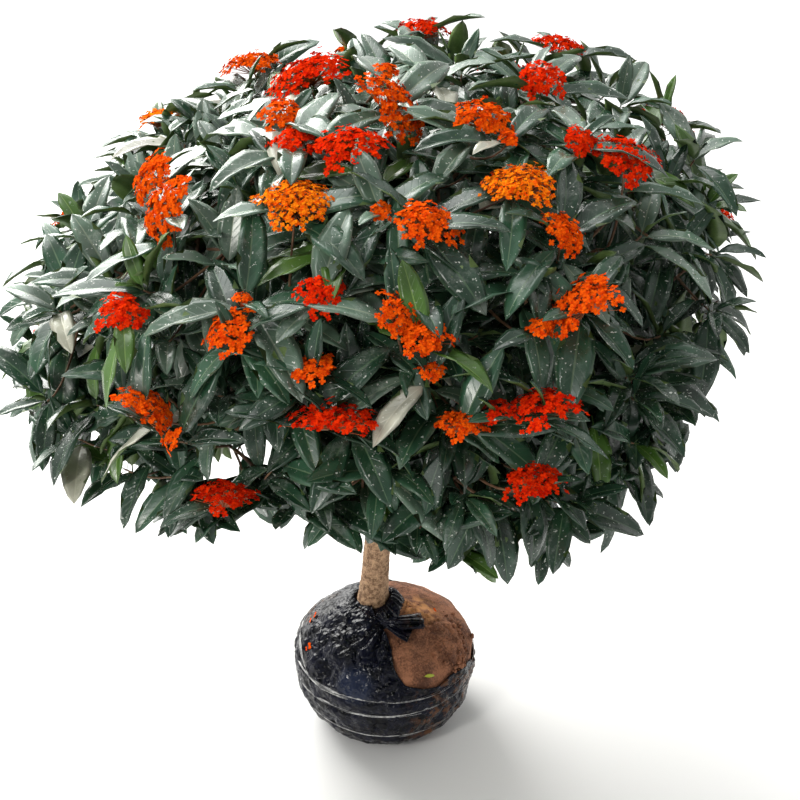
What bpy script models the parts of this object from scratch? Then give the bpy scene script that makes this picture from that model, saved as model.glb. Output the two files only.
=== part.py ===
"""Sweet osmanthus sapling on a wrapped root ball.

A leaning trunk stands on a ball of soil in a black film sack. It forks into a whorl of low boughs, each with a
side limb, and a leader with four top limbs. Each limb carries one mass of foliage: twigs that branch from a stem,
with pointed leaves and heads of blossom fused on. Metres, +Z up, the origin under the middle of the ball.
Run with: blender --background --python part.py
"""

import math
import random

import bmesh
import bpy
import numpy as np
from mathutils import Matrix, Vector
from mathutils.bvhtree import BVHTree

# Driving dimensions, metres
BALL_WIDTH = 0.32
BALL_MIDDLE = 0.147  # height of the ball's widest ring
BALL_TOP = 0.247
BALL_SQUARENESS = (3.0, 1.6)  # of the lower and the upper half: 2 is an ellipse, more is boxier
FILM_THICKNESS = 0.002
CLEARANCE = 0.0004  # between pieces that touch
TRUNK_FOOT_X = -0.021
TRUNK_FOOT_RADIUS = 0.029
TRUNK_RADIUS = 0.024
FORK_RADIUS = 0.020
FORK_X = 0.002
FORK_HEIGHT = 0.57
CROWN_HEART_HEIGHT = 0.80
CROWN_HALF_WIDTH = 0.63
CROWN_HALF_DEPTH = 0.59
CROWN_RISE = 0.46
CROWN_DROP = 0.28
LEAF_LENGTH = 0.126
LEAF_WIDTH = 0.052
LEAF_THICKNESS = 0.0028
BLOSSOM_WIDTH = 0.062

# Root ball details
BALL_COLUMNS = 22
BALL_ROWS = 10
COLUMN_SHIFT = 0.5  # the ball mesh's columns stand half a step round from +X
BALL_UNDERSIDE_REACH = 0.154  # how far below the widest ring the round would go, before the flat foot cuts it
SOIL_INSET = 0.0033
TOP_SLOPE = (0.117, -0.078)  # how steeply the ball's top rises towards +X and +Y
BALL_LUMPS = ((3, 0.007, 4.5), (5, 0.003, 1.1))  # waves round the ball, their share of its radius, their phase
BARE_SOIL_WAY = Vector((0.515, -0.240, 0.823))  # the film lies open on the side that faces this way
BARE_SOIL_FROM = 0.208  # how far out along it the film ends, measured from the origin
TRUNK_HOLE_RADIUS = 0.034
COLLAR_INNER_RADIUS = 0.0305
COLLAR_OUTER_RADIUS = 0.046
COLLAR_HEIGHT = 0.020
COLLAR_STAND_OFF = 0.0009  # clears the film's edge between two rings of faces
# The twisted tail: x, y, height and radius, from inside the collar, over a knot, to its end over the bare soil
TAIL = (
    (-0.011, -0.036, 0.2555, 0.0080),
    (-0.003, -0.052, 0.2513, 0.0085),
    (0.005, -0.066, 0.2473, 0.0088),
    (0.021, -0.069, 0.2430, 0.0065),
    (0.045, -0.062, 0.2419, 0.0080),
    (0.067, -0.055, 0.2375, 0.0100),
)
BAND_RADIUS = 0.0016
# Each binding band: the height of its middle, how far it tilts and the azimuth of its highest point
BANDS = {
    "binding_band_high": (0.136, 0.010, 250.0),
    "binding_band_middle": (0.097, 0.018, 275.0),
    "binding_band_low": (0.055, 0.008, 225.0),
}

# Boughs, degrees round from +X and shares of the crown's reach
LOW_AZIMUTHS = (188.0, 231.0, 267.0, 299.0, 343.0, 30.0, 83.0, 138.0)
LOW_ELEVATIONS = (-4.0, -11.0, -5.0, -10.0, -2.0, -6.0, -7.0, -6.0)
LOW_START_HEIGHTS = (0.445, 0.475, 0.505, 0.460, 0.490, 0.450, 0.520, 0.480)
LOW_BASE_RADIUS = 0.0105
SIDE_TURN = 21.0  # how far a side limb turns from its bough
SIDE_ELEVATION = 27.0
SIDE_START = 0.42  # share of the bough's length where its side limb leaves
SIDE_BASE_RADIUS = 0.0068
LEADER_LENGTH = 0.30
LEADER_BASE_RADIUS = 0.0165
TOP_AZIMUTHS = (205.0, 298.0, 25.0, 112.0)
TOP_ELEVATION = 57.0
TOP_STARTS = (0.20, 0.32, 0.44, 0.56)
TOP_BASE_RADIUS = 0.0075
LIMB_TIP_RADIUS = 0.0042
LIMB_TIP_SHARE = 0.44  # boughs end this far out from the heart, as a share of the reach
LIMB_POINTS = 5

# Foliage masses
HUB_SHARE = 0.62
CELL_SHARE = 0.74
SHOOT_TIP_SHARE = 0.85
CELL_MARGIN = 0.0006
STEM_RADIUS = 0.0034
STEM_POINTS = 5
TWIG_RADIUS = 0.0026
SHOOTS_PER_MASS = 4
SHOOT_SPREAD = 0.33  # radians between a mass's middle shoot and the others
LEAVES_PER_SHOOT = 8
LEAF_TRIES = 24
LEAF_BASE_SHARE = 0.34  # where a leaf is widest
LEAF_SHOULDER_SHARE = 0.68
LEAF_SHOULDER_WIDTH = 0.74
LEAF_DROOP = 0.05
SEED = 18

BARK = ("bark", (0.30, 0.20, 0.13), 0.85)
FOLIAGE = ("foliage", (0.06, 0.13, 0.10), 0.50)
SOIL = ("soil", (0.30, 0.14, 0.08), 0.95)
FILM = ("black_film", (0.015, 0.016, 0.022), 0.28)
BAND = ("clear_band", (0.55, 0.55, 0.55), 0.30)


def start_scene():
    """Empties the scene and returns the collections of the plant and of its cutters."""
    for old in list(bpy.data.objects):
        bpy.data.objects.remove(old)
    made = []
    for name in ("sweet_osmanthus_sapling", "cutters"):
        collection = bpy.data.collections.new(name)
        bpy.context.scene.collection.children.link(collection)
        made.append(collection)
    return made


PLANT, CUTTERS = start_scene()
MATERIALS = {}


def material(spec):
    """One Principled material for each named finish."""
    name, colour, roughness = spec
    if name not in MATERIALS:
        made = bpy.data.materials.new(name)
        made.use_nodes = True
        shader = made.node_tree.nodes["Principled BSDF"]
        shader.inputs["Base Color"].default_value = (*colour, 1.0)
        shader.inputs["Roughness"].default_value = roughness
        MATERIALS[name] = made
    return MATERIALS[name]


def add_object(name, mesh, spec=None, collection=None):
    obj = bpy.data.objects.new(name, mesh)
    (collection or PLANT).objects.link(obj)
    if spec:
        mesh.materials.clear()
        mesh.materials.append(material(spec))
    return obj


def mesh_from(name, bm):
    bmesh.ops.recalc_face_normals(bm, faces=bm.faces)
    mesh = bpy.data.meshes.new(name)
    bm.to_mesh(mesh)
    bm.free()
    return mesh


def evaluated_mesh(obj, weld=0.0):
    """A new mesh of the object as its modifiers or its bevel make it."""
    bpy.context.view_layer.update()
    graph = bpy.context.evaluated_depsgraph_get()
    mesh = bpy.data.meshes.new_from_object(obj.evaluated_get(graph))
    if weld:
        bm = bmesh.new()
        bm.from_mesh(mesh)
        bmesh.ops.remove_doubles(bm, verts=bm.verts, dist=weld)
        bmesh.ops.recalc_face_normals(bm, faces=bm.faces)
        bm.to_mesh(mesh)
        bm.free()
    return mesh


def boolean(obj, operation, operand, solver="EXACT"):
    modifier = obj.modifiers.new(operation.lower(), "BOOLEAN")
    modifier.operation = operation
    modifier.solver = solver
    if isinstance(operand, bpy.types.Collection):
        modifier.operand_type = "COLLECTION"
        modifier.collection = operand
    else:
        modifier.object = operand
    return modifier


def keep_main_shell(obj):
    """Applies the object's Boolean and keeps the one outer shell: loose scraps go, sealed hollows are filled."""
    mesh = evaluated_mesh(obj)
    obj.modifiers.clear()
    obj.data = mesh
    bm = bmesh.new()
    bm.from_mesh(mesh)
    bmesh.ops.triangulate(bm, faces=bm.faces)
    left = set(bm.faces)
    shells = []
    while left:
        start = left.pop()
        shell, edge = [start], [start]
        while edge:
            face = edge.pop()
            for side in face.edges:
                for other in side.link_faces:
                    if other in left:
                        left.discard(other)
                        shell.append(other)
                        edge.append(other)
        volume = sum(f.verts[0].co.dot(f.verts[1].co.cross(f.verts[2].co)) for f in shell) / 6
        shells.append((volume, shell))
    shells.sort(key=lambda item: item[0])
    for _, shell in shells[:-1]:
        bmesh.ops.delete(bm, geom=shell, context="FACES")
    bm.to_mesh(mesh)
    bm.free()


def as_cutter(obj):
    obj.hide_render = True
    obj.display_type = "WIRE"
    return obj


# The root ball


def ball_point(azimuth, latitude, inset=0.0):
    """A point of the ball's skin. Latitude runs from -90 degrees underneath to 90 degrees at the trunk."""
    power = 2 / BALL_SQUARENESS[latitude > 0]
    lump = 1 + sum(share * math.cos(waves * azimuth + phase) for waves, share, phase in BALL_LUMPS)
    radius = BALL_WIDTH / 2 * lump * max(0.0, math.cos(latitude)) ** power
    rise = BALL_TOP - BALL_MIDDLE if latitude > 0 else BALL_UNDERSIDE_REACH
    height = BALL_MIDDLE + math.copysign(rise * abs(math.sin(latitude)) ** power, latitude)
    shift = TRUNK_FOOT_X * max(0.0, math.sin(latitude)) ** 2
    x, y = radius * math.cos(azimuth) + shift, radius * math.sin(azimuth)
    height += max(0.0, math.sin(latitude)) * (TOP_SLOPE[0] * (x - TRUNK_FOOT_X) + TOP_SLOPE[1] * y)
    point = Vector((x, y, max(height, 0.0)))
    middle = Vector((0.0, 0.0, BALL_MIDDLE))
    outward = point - middle
    return middle + outward * (1 - inset / outward.length)


def ball_mesh(name, inset):
    """The ball as a sphere whose rings and columns are moved onto its skin, less an inset."""
    bm = bmesh.new()
    bmesh.ops.create_uvsphere(bm, u_segments=BALL_COLUMNS, v_segments=BALL_ROWS, radius=1.0)
    for vertex in bm.verts:
        latitude = math.asin(max(-1.0, min(1.0, vertex.co.z)))
        vertex.co = ball_point(math.atan2(vertex.co.y, vertex.co.x), latitude, inset)
    return mesh_from(name, bm)


def top_slope(x, y):
    """How far the top's slope lifts a place near the trunk's foot."""
    lift = TOP_SLOPE[0] * (x - TRUNK_FOOT_X) + TOP_SLOPE[1] * y
    return math.cos(math.pi / BALL_ROWS) * lift


def cap_height(out):
    """The height that clears the film's flat faces at a distance from the trunk's foot, less the top's slope."""
    heights = []
    for column in range(BALL_COLUMNS):
        azimuth = math.tau * (column + COLUMN_SHIFT) / BALL_COLUMNS
        rings = [ball_point(azimuth, math.radians(90) - step * math.pi / BALL_ROWS) for step in range(4)]
        places = [(math.hypot(ring.x - TRUNK_FOOT_X, ring.y), ring.z - top_slope(ring.x, ring.y)) for ring in rings]
        (near, high), (far, low) = next(pair for pair in zip(places, places[1:]) if out <= pair[1][0])
        heights.append(high + (low - high) * (out - near) / (far - near))
    return max(heights)


def make_root_ball():
    add_object("soil_ball", ball_mesh("soil_ball", SOIL_INSET), SOIL)
    hollow = as_cutter(add_object("film_hollow", ball_mesh("film_hollow", FILM_THICKNESS), None, CUTTERS))
    bare = bmesh.new()
    bmesh.ops.create_cube(bare, size=BALL_WIDTH * 2)
    bmesh.ops.translate(bare, vec=(0.0, 0.0, BARE_SOIL_FROM + BALL_WIDTH), verts=bare.verts)
    bmesh.ops.rotate(bare, matrix=BARE_SOIL_WAY.to_track_quat("Z", "Y").to_matrix(), verts=bare.verts)
    bare = as_cutter(add_object("bare_soil_cutter", mesh_from("bare_soil_cutter", bare), None, CUTTERS))
    hole = bmesh.new()
    bmesh.ops.create_cone(
        hole, cap_ends=True, segments=16, radius1=TRUNK_HOLE_RADIUS, radius2=TRUNK_HOLE_RADIUS, depth=0.06
    )
    bmesh.ops.translate(hole, vec=(TRUNK_FOOT_X, 0.0, BALL_TOP), verts=hole.verts)
    hole = as_cutter(add_object("trunk_hole_cutter", mesh_from("trunk_hole_cutter", hole), None, CUTTERS))
    film = add_object("film_sack", ball_mesh("film_sack", 0.0), FILM)
    for cutter in (hollow, bare, hole):
        boolean(film, "DIFFERENCE", cutter)


def make_gather():
    """The sack's mouth, gathered as a collar round the trunk's foot, with a twisted tail lying over the soil."""
    base = cap_height(COLLAR_OUTER_RADIUS) + COLLAR_STAND_OFF
    inner_base = cap_height(TRUNK_HOLE_RADIUS) + COLLAR_STAND_OFF
    middle = (COLLAR_INNER_RADIUS + COLLAR_OUTER_RADIUS) / 2
    profile = (
        (COLLAR_OUTER_RADIUS, base),
        (COLLAR_OUTER_RADIUS * 0.97, base + COLLAR_HEIGHT * 0.6),
        (middle, base + COLLAR_HEIGHT),
        (COLLAR_INNER_RADIUS, base + COLLAR_HEIGHT * 0.8),
        (COLLAR_INNER_RADIUS, inner_base),
        (TRUNK_HOLE_RADIUS, inner_base),
    )
    bm = bmesh.new()
    corners = [bm.verts.new((radius, 0.0, height)) for radius, height in profile]
    edges = [bm.edges.new((corners[i], corners[(i + 1) % len(corners)])) for i in range(len(corners))]
    bmesh.ops.spin(
        bm, geom=corners + edges, cent=(0, 0, 0), axis=(0, 0, 1), angle=math.tau, steps=14, use_duplicate=False
    )
    bmesh.ops.remove_doubles(bm, verts=bm.verts, dist=1e-5)
    for vertex in bm.verts:
        vertex.co.x += TRUNK_FOOT_X
        vertex.co.z += top_slope(vertex.co.x, vertex.co.y)
    gather = add_object("film_gather", mesh_from("film_gather", bm), FILM)
    points, radii = [Vector(row[:3]) for row in TAIL], [row[3] for row in TAIL]
    tail = limb("gather_tail", points, radii, 6)
    boolean(gather, "UNION", as_cutter(tail))


def on_face(azimuth, height, stand_off):
    """A point that stands off the flat faces between the ball mesh's rings, at a height, square to them."""
    rings = [ball_point(azimuth, math.radians(180 * row / BALL_ROWS - 90)) for row in range(BALL_ROWS + 1)]
    low, high = next(pair for pair in zip(rings, rings[1:]) if pair[0].z <= height < pair[1].z)
    slope = (high - low).normalized()
    outward = Vector((math.cos(azimuth), math.sin(azimuth), 0.0))
    square = (outward - slope * outward.dot(slope)).normalized()
    return low.lerp(high, (height - low.z) / (high.z - low.z)) + square * stand_off


def make_bands():
    """Bunched clear strands, wound round the sack as tilted loops with flat sections."""
    for name, (height, tilt, high_side) in BANDS.items():
        curve = bpy.data.curves.new(name, "CURVE")
        curve.dimensions = "3D"
        curve.bevel_depth = BAND_RADIUS
        curve.bevel_resolution = 0
        spline = curve.splines.new("POLY")
        spline.points.add(BALL_COLUMNS - 1)
        spline.use_cyclic_u = True
        for i, point in enumerate(spline.points):
            azimuth = math.tau * (i + COLUMN_SHIFT) / BALL_COLUMNS
            level = height + tilt * math.cos(azimuth - math.radians(high_side))
            point.co = (*on_face(azimuth, level, BAND_RADIUS + CLEARANCE), 1.0)
        obj = bpy.data.objects.new(name, curve)
        PLANT.objects.link(obj)
        curve.materials.append(material(BAND))


# Trunk and boughs


def limb(name, points, radii, sides, spec=None, collection=None):
    """A tapering limb: a bevelled poly curve through the points, made a mesh with its caps welded."""
    curve = bpy.data.curves.new(name, "CURVE")
    curve.dimensions = "3D"
    curve.bevel_depth = 1.0
    curve.bevel_resolution = sides // 2 - 2
    curve.use_fill_caps = True
    spline = curve.splines.new("POLY")
    spline.points.add(len(points) - 1)
    for place, point, radius in zip(points, spline.points, radii):
        point.co = (*place, 1.0)
        point.radius = radius
    guide = bpy.data.objects.new(name + "_guide", curve)
    CUTTERS.objects.link(guide)
    mesh = evaluated_mesh(guide, weld=1e-5)
    bpy.data.objects.remove(guide)
    return add_object(name, mesh, spec, collection if collection or spec else CUTTERS)


def bent(start, lean, end, count=LIMB_POINTS):
    """Points of a limb that leaves its start towards lean and curves to its end (a quadratic Bezier arc)."""
    shares = [i / (count - 1) for i in range(count)]
    return [start * (1 - t) ** 2 + lean * (2 * t * (1 - t)) + end * t**2 for t in shares]


def tapered(first, last, count=LIMB_POINTS):
    return [first + (last - first) * (i / (count - 1)) ** 0.8 for i in range(count)]


def heading(azimuth, elevation):
    """A unit vector from degrees round from +X and degrees above the horizon."""
    a, e = math.radians(azimuth), math.radians(elevation)
    return Vector((math.cos(a) * math.cos(e), math.sin(a) * math.cos(e), math.sin(e)))


HEART = Vector((0.0, 0.0, CROWN_HEART_HEIGHT))
# Where the crown stands out of, or falls short of, its plain dome: direction, share, and how narrow
CROWN_SWELLS = (
    (heading(6.0, 22.0), 0.09, 6),
    (heading(184.0, -1.0), 0.07, 10),
    (heading(178.0, 44.0), -0.16, 4),
    (heading(350.0, -12.0), -0.17, 5),
    (heading(195.0, -24.0), -0.05, 6),
    (heading(262.0, -22.0), -0.12, 10),
    (heading(302.0, -32.0), 0.12, 14),
)
CROWN_SQUARENESS = 2.25


def reach(direction):
    """How far the crown reaches from its heart in a direction: a boxy ellipsoid with a few swells."""
    halves = (CROWN_HALF_WIDTH, CROWN_HALF_DEPTH, CROWN_RISE if direction.z > 0 else CROWN_DROP)
    total = sum(abs(part / half) ** CROWN_SQUARENESS for part, half in zip(direction, halves))
    swell = sum(share * max(0.0, direction.dot(way)) ** narrow for way, share, narrow in CROWN_SWELLS)
    return total ** (-1 / CROWN_SQUARENESS) * (1 + swell)


def trunk_axis(height):
    """The trunk's middle line: a straight lean from its foot to the fork."""
    foot = trunk_foot_height()
    share = (height - foot) / (FORK_HEIGHT - foot)
    return Vector((TRUNK_FOOT_X + (FORK_X - TRUNK_FOOT_X) * share, 0.0, height))


def trunk_foot_height():
    return ball_point(0.0, math.radians(90), SOIL_INSET).z + CLEARANCE


def trunk_outline():
    """Heights and radii: a flat cut foot, a root flare, a long taper and a flat fork."""
    foot = trunk_foot_height()
    return (
        (foot, TRUNK_FOOT_RADIUS),
        (foot + 0.004, TRUNK_FOOT_RADIUS * 0.985),
        (foot + 0.020, TRUNK_FOOT_RADIUS * 0.90),
        (foot + 0.050, TRUNK_RADIUS * 1.02),
        (foot + 0.110, TRUNK_RADIUS * 0.96),
        (foot + 0.170, TRUNK_RADIUS * 0.94),
        (foot + 0.230, TRUNK_RADIUS * 0.92),
        (FORK_HEIGHT - 0.02, FORK_RADIUS * 1.06),
        (FORK_HEIGHT, FORK_RADIUS),
    )


def make_trunk():
    heights, radii = zip(*trunk_outline())
    points = [trunk_axis(height) for height in heights]
    # The end faces lie level where the end segments are upright.
    points[0].x = points[1].x
    points[-1].x = points[-2].x
    limb("trunk", points, radii, 12, BARK)
    cutter = limb("trunk_cutter", points, [radius + CLEARANCE for radius in radii], 12)
    return as_cutter(cutter)


def branch(name, start, lean, end, base_radius, parent_cutter, sides=6):
    """One tapering limb from its parent's middle line, cut back to the parent's bark, and its own cutter."""
    points = bent(start, lean, end)
    radii = tapered(base_radius, LIMB_TIP_RADIUS)
    made = limb(name, points, radii, sides, BARK)
    if parent_cutter:
        boolean(made, "DIFFERENCE", parent_cutter)
        keep_main_shell(made)
    cutter = limb(name + "_cutter", points, [radius + CLEARANCE for radius in radii], sides)
    return {"name": name, "points": points, "object": made, "cutter": as_cutter(cutter)}


def make_boughs(trunk_cutter):
    """All limbs with the direction from the heart in which each one's mass lies."""
    limbs = []
    for i, (azimuth, elevation, height) in enumerate(zip(LOW_AZIMUTHS, LOW_ELEVATIONS, LOW_START_HEIGHTS)):
        way = heading(azimuth, elevation)
        start = trunk_axis(height)
        end = HEART + way * reach(way) * LIMB_TIP_SHARE
        lean = start + heading(azimuth, 38.0) * (end - start).length * 0.55
        low = branch(f"bough_low_{i + 1}", start, lean, end, LOW_BASE_RADIUS, trunk_cutter)
        limbs.append((low, way))
        side_way = heading(azimuth + SIDE_TURN, SIDE_ELEVATION)
        side_start = bent_point(start, lean, end, SIDE_START)
        side_end = HEART + side_way * reach(side_way) * LIMB_TIP_SHARE
        side_lean = side_start + heading(azimuth + SIDE_TURN * 1.6, 48.0) * (side_end - side_start).length * 0.5
        side = branch(
            f"bough_side_{i + 1}", side_start, side_lean, side_end, SIDE_BASE_RADIUS, low["cutter"]
        )
        limbs.append((side, side_way))
    fork = Vector((trunk_axis(FORK_HEIGHT - 0.02).x, 0.0, FORK_HEIGHT + CLEARANCE))
    top = fork + Vector((0.012, 0.0, LEADER_LENGTH))
    leader = branch("leader", fork, fork + Vector((0.0, 0.0, LEADER_LENGTH / 2)), top, LEADER_BASE_RADIUS, None, 8)
    limbs.append((leader, Vector((0.03, 0.0, 1.0)).normalized()))
    for i, (azimuth, share) in enumerate(zip(TOP_AZIMUTHS, TOP_STARTS)):
        way = heading(azimuth, TOP_ELEVATION)
        start = bent_point(fork, fork + Vector((0.0, 0.0, LEADER_LENGTH / 2)), top, share)
        end = HEART + way * reach(way) * (LIMB_TIP_SHARE + 0.06)
        lean = start + heading(azimuth, 30.0) * (end - start).length * 0.6
        limbs.append((branch(f"bough_top_{i + 1}", start, lean, end, TOP_BASE_RADIUS, leader["cutter"]), way))
    return limbs


def bent_point(start, lean, end, share):
    return start * (1 - share) ** 2 + lean * (2 * share * (1 - share)) + end * share**2


# Foliage


def leaf_template():
    """A unit leaf along +X, blade up: a flat top with four side corners, and a keel from its root to its tip."""
    sides = ((LEAF_BASE_SHARE, 0.5), (LEAF_SHOULDER_SHARE, 0.5 * LEAF_SHOULDER_WIDTH))
    (x1, y1), (x2, y2) = sides
    thick = LEAF_THICKNESS / LEAF_LENGTH
    corners = ((0, 0, 0), (x1, y1, thick), (x2, y2, thick), (1, 0, -LEAF_DROOP), (x2, -y2, thick), (x1, -y1, thick))
    faces = ((0, 1, 5), (1, 2, 4, 5), (2, 3, 4), (0, 3, 1), (1, 3, 2), (0, 5, 3), (5, 4, 3))
    mesh = bpy.data.meshes.new("leaf")
    mesh.from_pydata(corners, [], faces)
    bm = bmesh.new()
    bm.from_mesh(mesh)
    bmesh.ops.triangulate(bm, faces=bm.faces)
    return mesh_from("leaf", bm)


def twig_template():
    """A unit twig along +X, three-sided and tapered."""
    bm = bmesh.new()
    bmesh.ops.create_cone(bm, cap_ends=True, segments=3, radius1=1.0, radius2=0.72, depth=1.0)
    bmesh.ops.rotate(bm, matrix=Matrix.Rotation(math.pi / 2, 3, "Y"), verts=bm.verts)
    bmesh.ops.translate(bm, vec=(0.5, 0.0, 0.0), verts=bm.verts)
    return mesh_from("twig", bm)


def blossom_template():
    """A unit head of blossom across +X: a coarse ball."""
    bm = bmesh.new()
    bmesh.ops.create_icosphere(bm, subdivisions=1, radius=0.5)
    return mesh_from("blossom", bm)


def placed(origin, along, up, length, width, height):
    """A matrix that puts a template's +X along a direction, with +Z as near up as that allows."""
    x = along.normalized()
    y = up.cross(x)
    if y.length < 1e-4:
        y = Vector((0.0, 1.0, 0.0)).cross(x)
    y.normalize()
    z = x.cross(y)
    columns = Matrix((x * length, y * width, z * height)).transposed().to_4x4()
    return Matrix.Translation(origin) @ columns


def corners_of(mesh, matrix):
    return [matrix @ vertex.co for vertex in mesh.vertices]


def tree_of(mesh, matrix=None):
    places = corners_of(mesh, matrix or Matrix.Identity(4))
    return BVHTree.FromPolygons(places, [tuple(face.vertices) for face in mesh.polygons])


class Cells:
    """Each mass keeps to the points that lie nearer its own centre than any other's, less a margin."""

    def __init__(self, centres):
        self.centres = np.array([tuple(centre) for centre in centres])

    def holds(self, index, places, margin=CELL_MARGIN):
        own = self.centres[index]
        others = np.delete(self.centres, index, axis=0)
        away = others - own
        lengths = np.linalg.norm(away, axis=1)
        limits = lengths / 2 - margin
        depths = (np.array([tuple(p) for p in places]) - own) @ (away / lengths[:, None]).T
        return bool((depths < limits).all())


def within_crown(places):
    for place in places:
        outward = place - HEART
        if outward.length > reach(outward.normalized()):
            return False
    return True


def stem_of(limb_points, hub):
    """A mass's stem, from just clear of its limb's tip to the hub where its shoots part."""
    tip = limb_points[-1]
    along = (tip - limb_points[-2]).normalized()
    start = tip + along * CLEARANCE
    # A short straight run keeps the stem's end face level with the limb's.
    first = start + along * LIMB_TIP_RADIUS
    return [start] + bent(first, first + along * (hub - first).length * 0.45, hub, STEM_POINTS - 1)


def shoots_of(way, rng):
    """The directions of a mass's shoots: one in the middle and the rest evenly round it."""
    side = way.orthogonal().normalized()
    turned = rng.uniform(0, math.tau)
    found = [way]
    for k in range(SHOOTS_PER_MASS - 1):
        turn = turned + math.tau * k / (SHOOTS_PER_MASS - 1) + rng.uniform(-0.25, 0.25)
        spread = SHOOT_SPREAD * rng.uniform(0.85, 1.15)
        around = Matrix.Rotation(turn, 3, way) @ side
        found.append((way * math.cos(spread) + around * math.sin(spread)).normalized())
    return found


def leaf_matrix(twig_matrix, share, turn, spread, length):
    """A leaf out of one of the twig's three faces, at a share of its length, with its blade turned to the sky."""
    along = twig_matrix.col[0].xyz.normalized()
    side = twig_matrix.col[1].xyz.normalized()
    around = Matrix.Rotation(turn, 3, along) @ -side
    axis = (along * math.cos(spread) + around * math.sin(spread)).normalized()
    face = along * 0.7 + Vector((0.0, 0.0, 0.8))
    root = twig_matrix @ Vector((share, 0.0, 0.0)) - axis * TWIG_RADIUS * 0.35
    return placed(root, axis, face, length, length * LEAF_WIDTH / LEAF_LENGTH, length)


def make_mass(index, name, way, stem_points, cells, obstacles, templates):
    """A mass of foliage: its stem with twigs, leaves and heads of blossom joined on by one union."""
    rng = random.Random(SEED * 1000 + index)
    leaf, twig, blossom = templates
    parts = bpy.data.collections.new(name + "_parts")
    bpy.context.scene.collection.children.link(parts)
    hub = stem_points[-1]
    stem = limb(name, stem_points, tapered(LIMB_TIP_RADIUS * 0.95, STEM_RADIUS, STEM_POINTS), 4, FOLIAGE)
    grown = []
    leaves = 0

    def add(mesh, matrix, apart_from):
        places = corners_of(mesh, matrix)
        if not cells.holds(index, places) or not within_crown(places):
            return None
        tree = tree_of(mesh, matrix)
        if any(tree.overlap(other) for other in obstacles + apart_from):
            return None
        part = bpy.data.objects.new(f"{name}_{len(parts.objects)}", mesh)
        part.matrix_world = matrix
        parts.objects.link(part)
        return tree

    shoots = []
    for k, shoot_way in enumerate(shoots_of(way, rng)):
        start = hub if k else stem_points[-2].lerp(hub, 0.5)
        for attempt in range(8):
            aim = (shoot_way * (1 - 0.06 * attempt) + way * 0.06 * attempt).normalized()
            end = HEART + aim * reach(aim) * SHOOT_TIP_SHARE * rng.uniform(0.96, 1.03)
            sunk = start - (end - start).normalized() * TWIG_RADIUS
            matrix = placed(sunk, end - sunk, Vector((0, 0, 1)), (end - sunk).length, TWIG_RADIUS, TWIG_RADIUS)
            tree = add(twig, matrix, [])
            if tree:
                shoots.append((k, matrix, tree))
                break
    for k, twig_matrix, _ in shoots:
        if k == 0:
            end = twig_matrix @ Vector((1.0, 0.0, 0.0))
            along = twig_matrix.col[0].xyz.normalized()
            width = BLOSSOM_WIDTH * rng.uniform(0.85, 1.2)
            head = placed(end + along * width * 0.18, along.orthogonal(), along, width, width * 0.8, width * 0.5)
            tree = add(blossom, head, [])
            if tree:
                grown.append(tree)
    for k, twig_matrix, _ in shoots:
        other_shoots = [tree for i, _, tree in shoots if i != k]
        for j in range(LEAVES_PER_SHOOT):
            tier, corner = divmod(j, 3)
            for attempt in range(LEAF_TRIES):
                share = (0.93, 0.70, 0.45)[tier] - rng.uniform(0.0, 0.05)
                turn = math.tau * corner / 3 + rng.uniform(-0.2, 0.2)
                spread = math.radians(rng.uniform(40, 84) + 8 * tier)
                length = LEAF_LENGTH * rng.uniform(0.92, 1.12) * (1 - 0.012 * attempt)
                tree = add(leaf, leaf_matrix(twig_matrix, share, turn, spread, length), grown + other_shoots)
                if tree:
                    grown.append(tree)
                    leaves += 1
                    break
    boolean(stem, "UNION", parts, "MANIFOLD")
    keep_main_shell(stem)
    for part in list(parts.objects):
        bpy.data.objects.remove(part)
    bpy.data.collections.remove(parts)
    return leaves


def make_foliage(limbs, trunk_cutter):
    templates = (leaf_template(), twig_template(), blossom_template())
    ways = [way for _, way in limbs]
    cells = Cells([HEART + way * reach(way) * CELL_SHARE for way in ways])
    stems = [stem_of(made["points"], HEART + way * reach(way) * HUB_SHARE) for made, way in limbs]
    solid_limbs = [tree_of(made["cutter"].data) for made, _ in limbs] + [tree_of(trunk_cutter.data)]
    stem_trees = []
    for number, points in enumerate(stems):
        guide = limb(f"stem_{number}", points, tapered(LIMB_TIP_RADIUS + CLEARANCE, STEM_RADIUS + CLEARANCE, STEM_POINTS), 4)
        stem_trees.append(tree_of(guide.data))
        bpy.data.objects.remove(guide)
    total = 0
    for index, (made, way) in enumerate(limbs):
        name = made["name"].replace("bough", "foliage").replace("leader", "foliage_crest")
        others = [tree for i, tree in enumerate(stem_trees) if i != index]
        total += make_mass(index, name, way, stems[index], cells, solid_limbs + others, templates)
    print("leaves", total)


def main():
    make_root_ball()
    make_gather()
    make_bands()
    trunk_cutter = make_trunk()
    limbs = make_boughs(trunk_cutter)
    make_foliage(limbs, trunk_cutter)


main()
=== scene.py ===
# %% [markdown]
# # A sweet osmanthus sapling, dressed
# The imported model gives the plant's limbs, its rough masses of foliage and its wrapped root ball. This lesson puts
# real surfaces over them: bark with relief, thousands of leaves, heads of tiny flowers, creased film and crumbly
# soil. It starts by loading the imported model, and reads the trunk's box for the height of its foot.

import math

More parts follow.
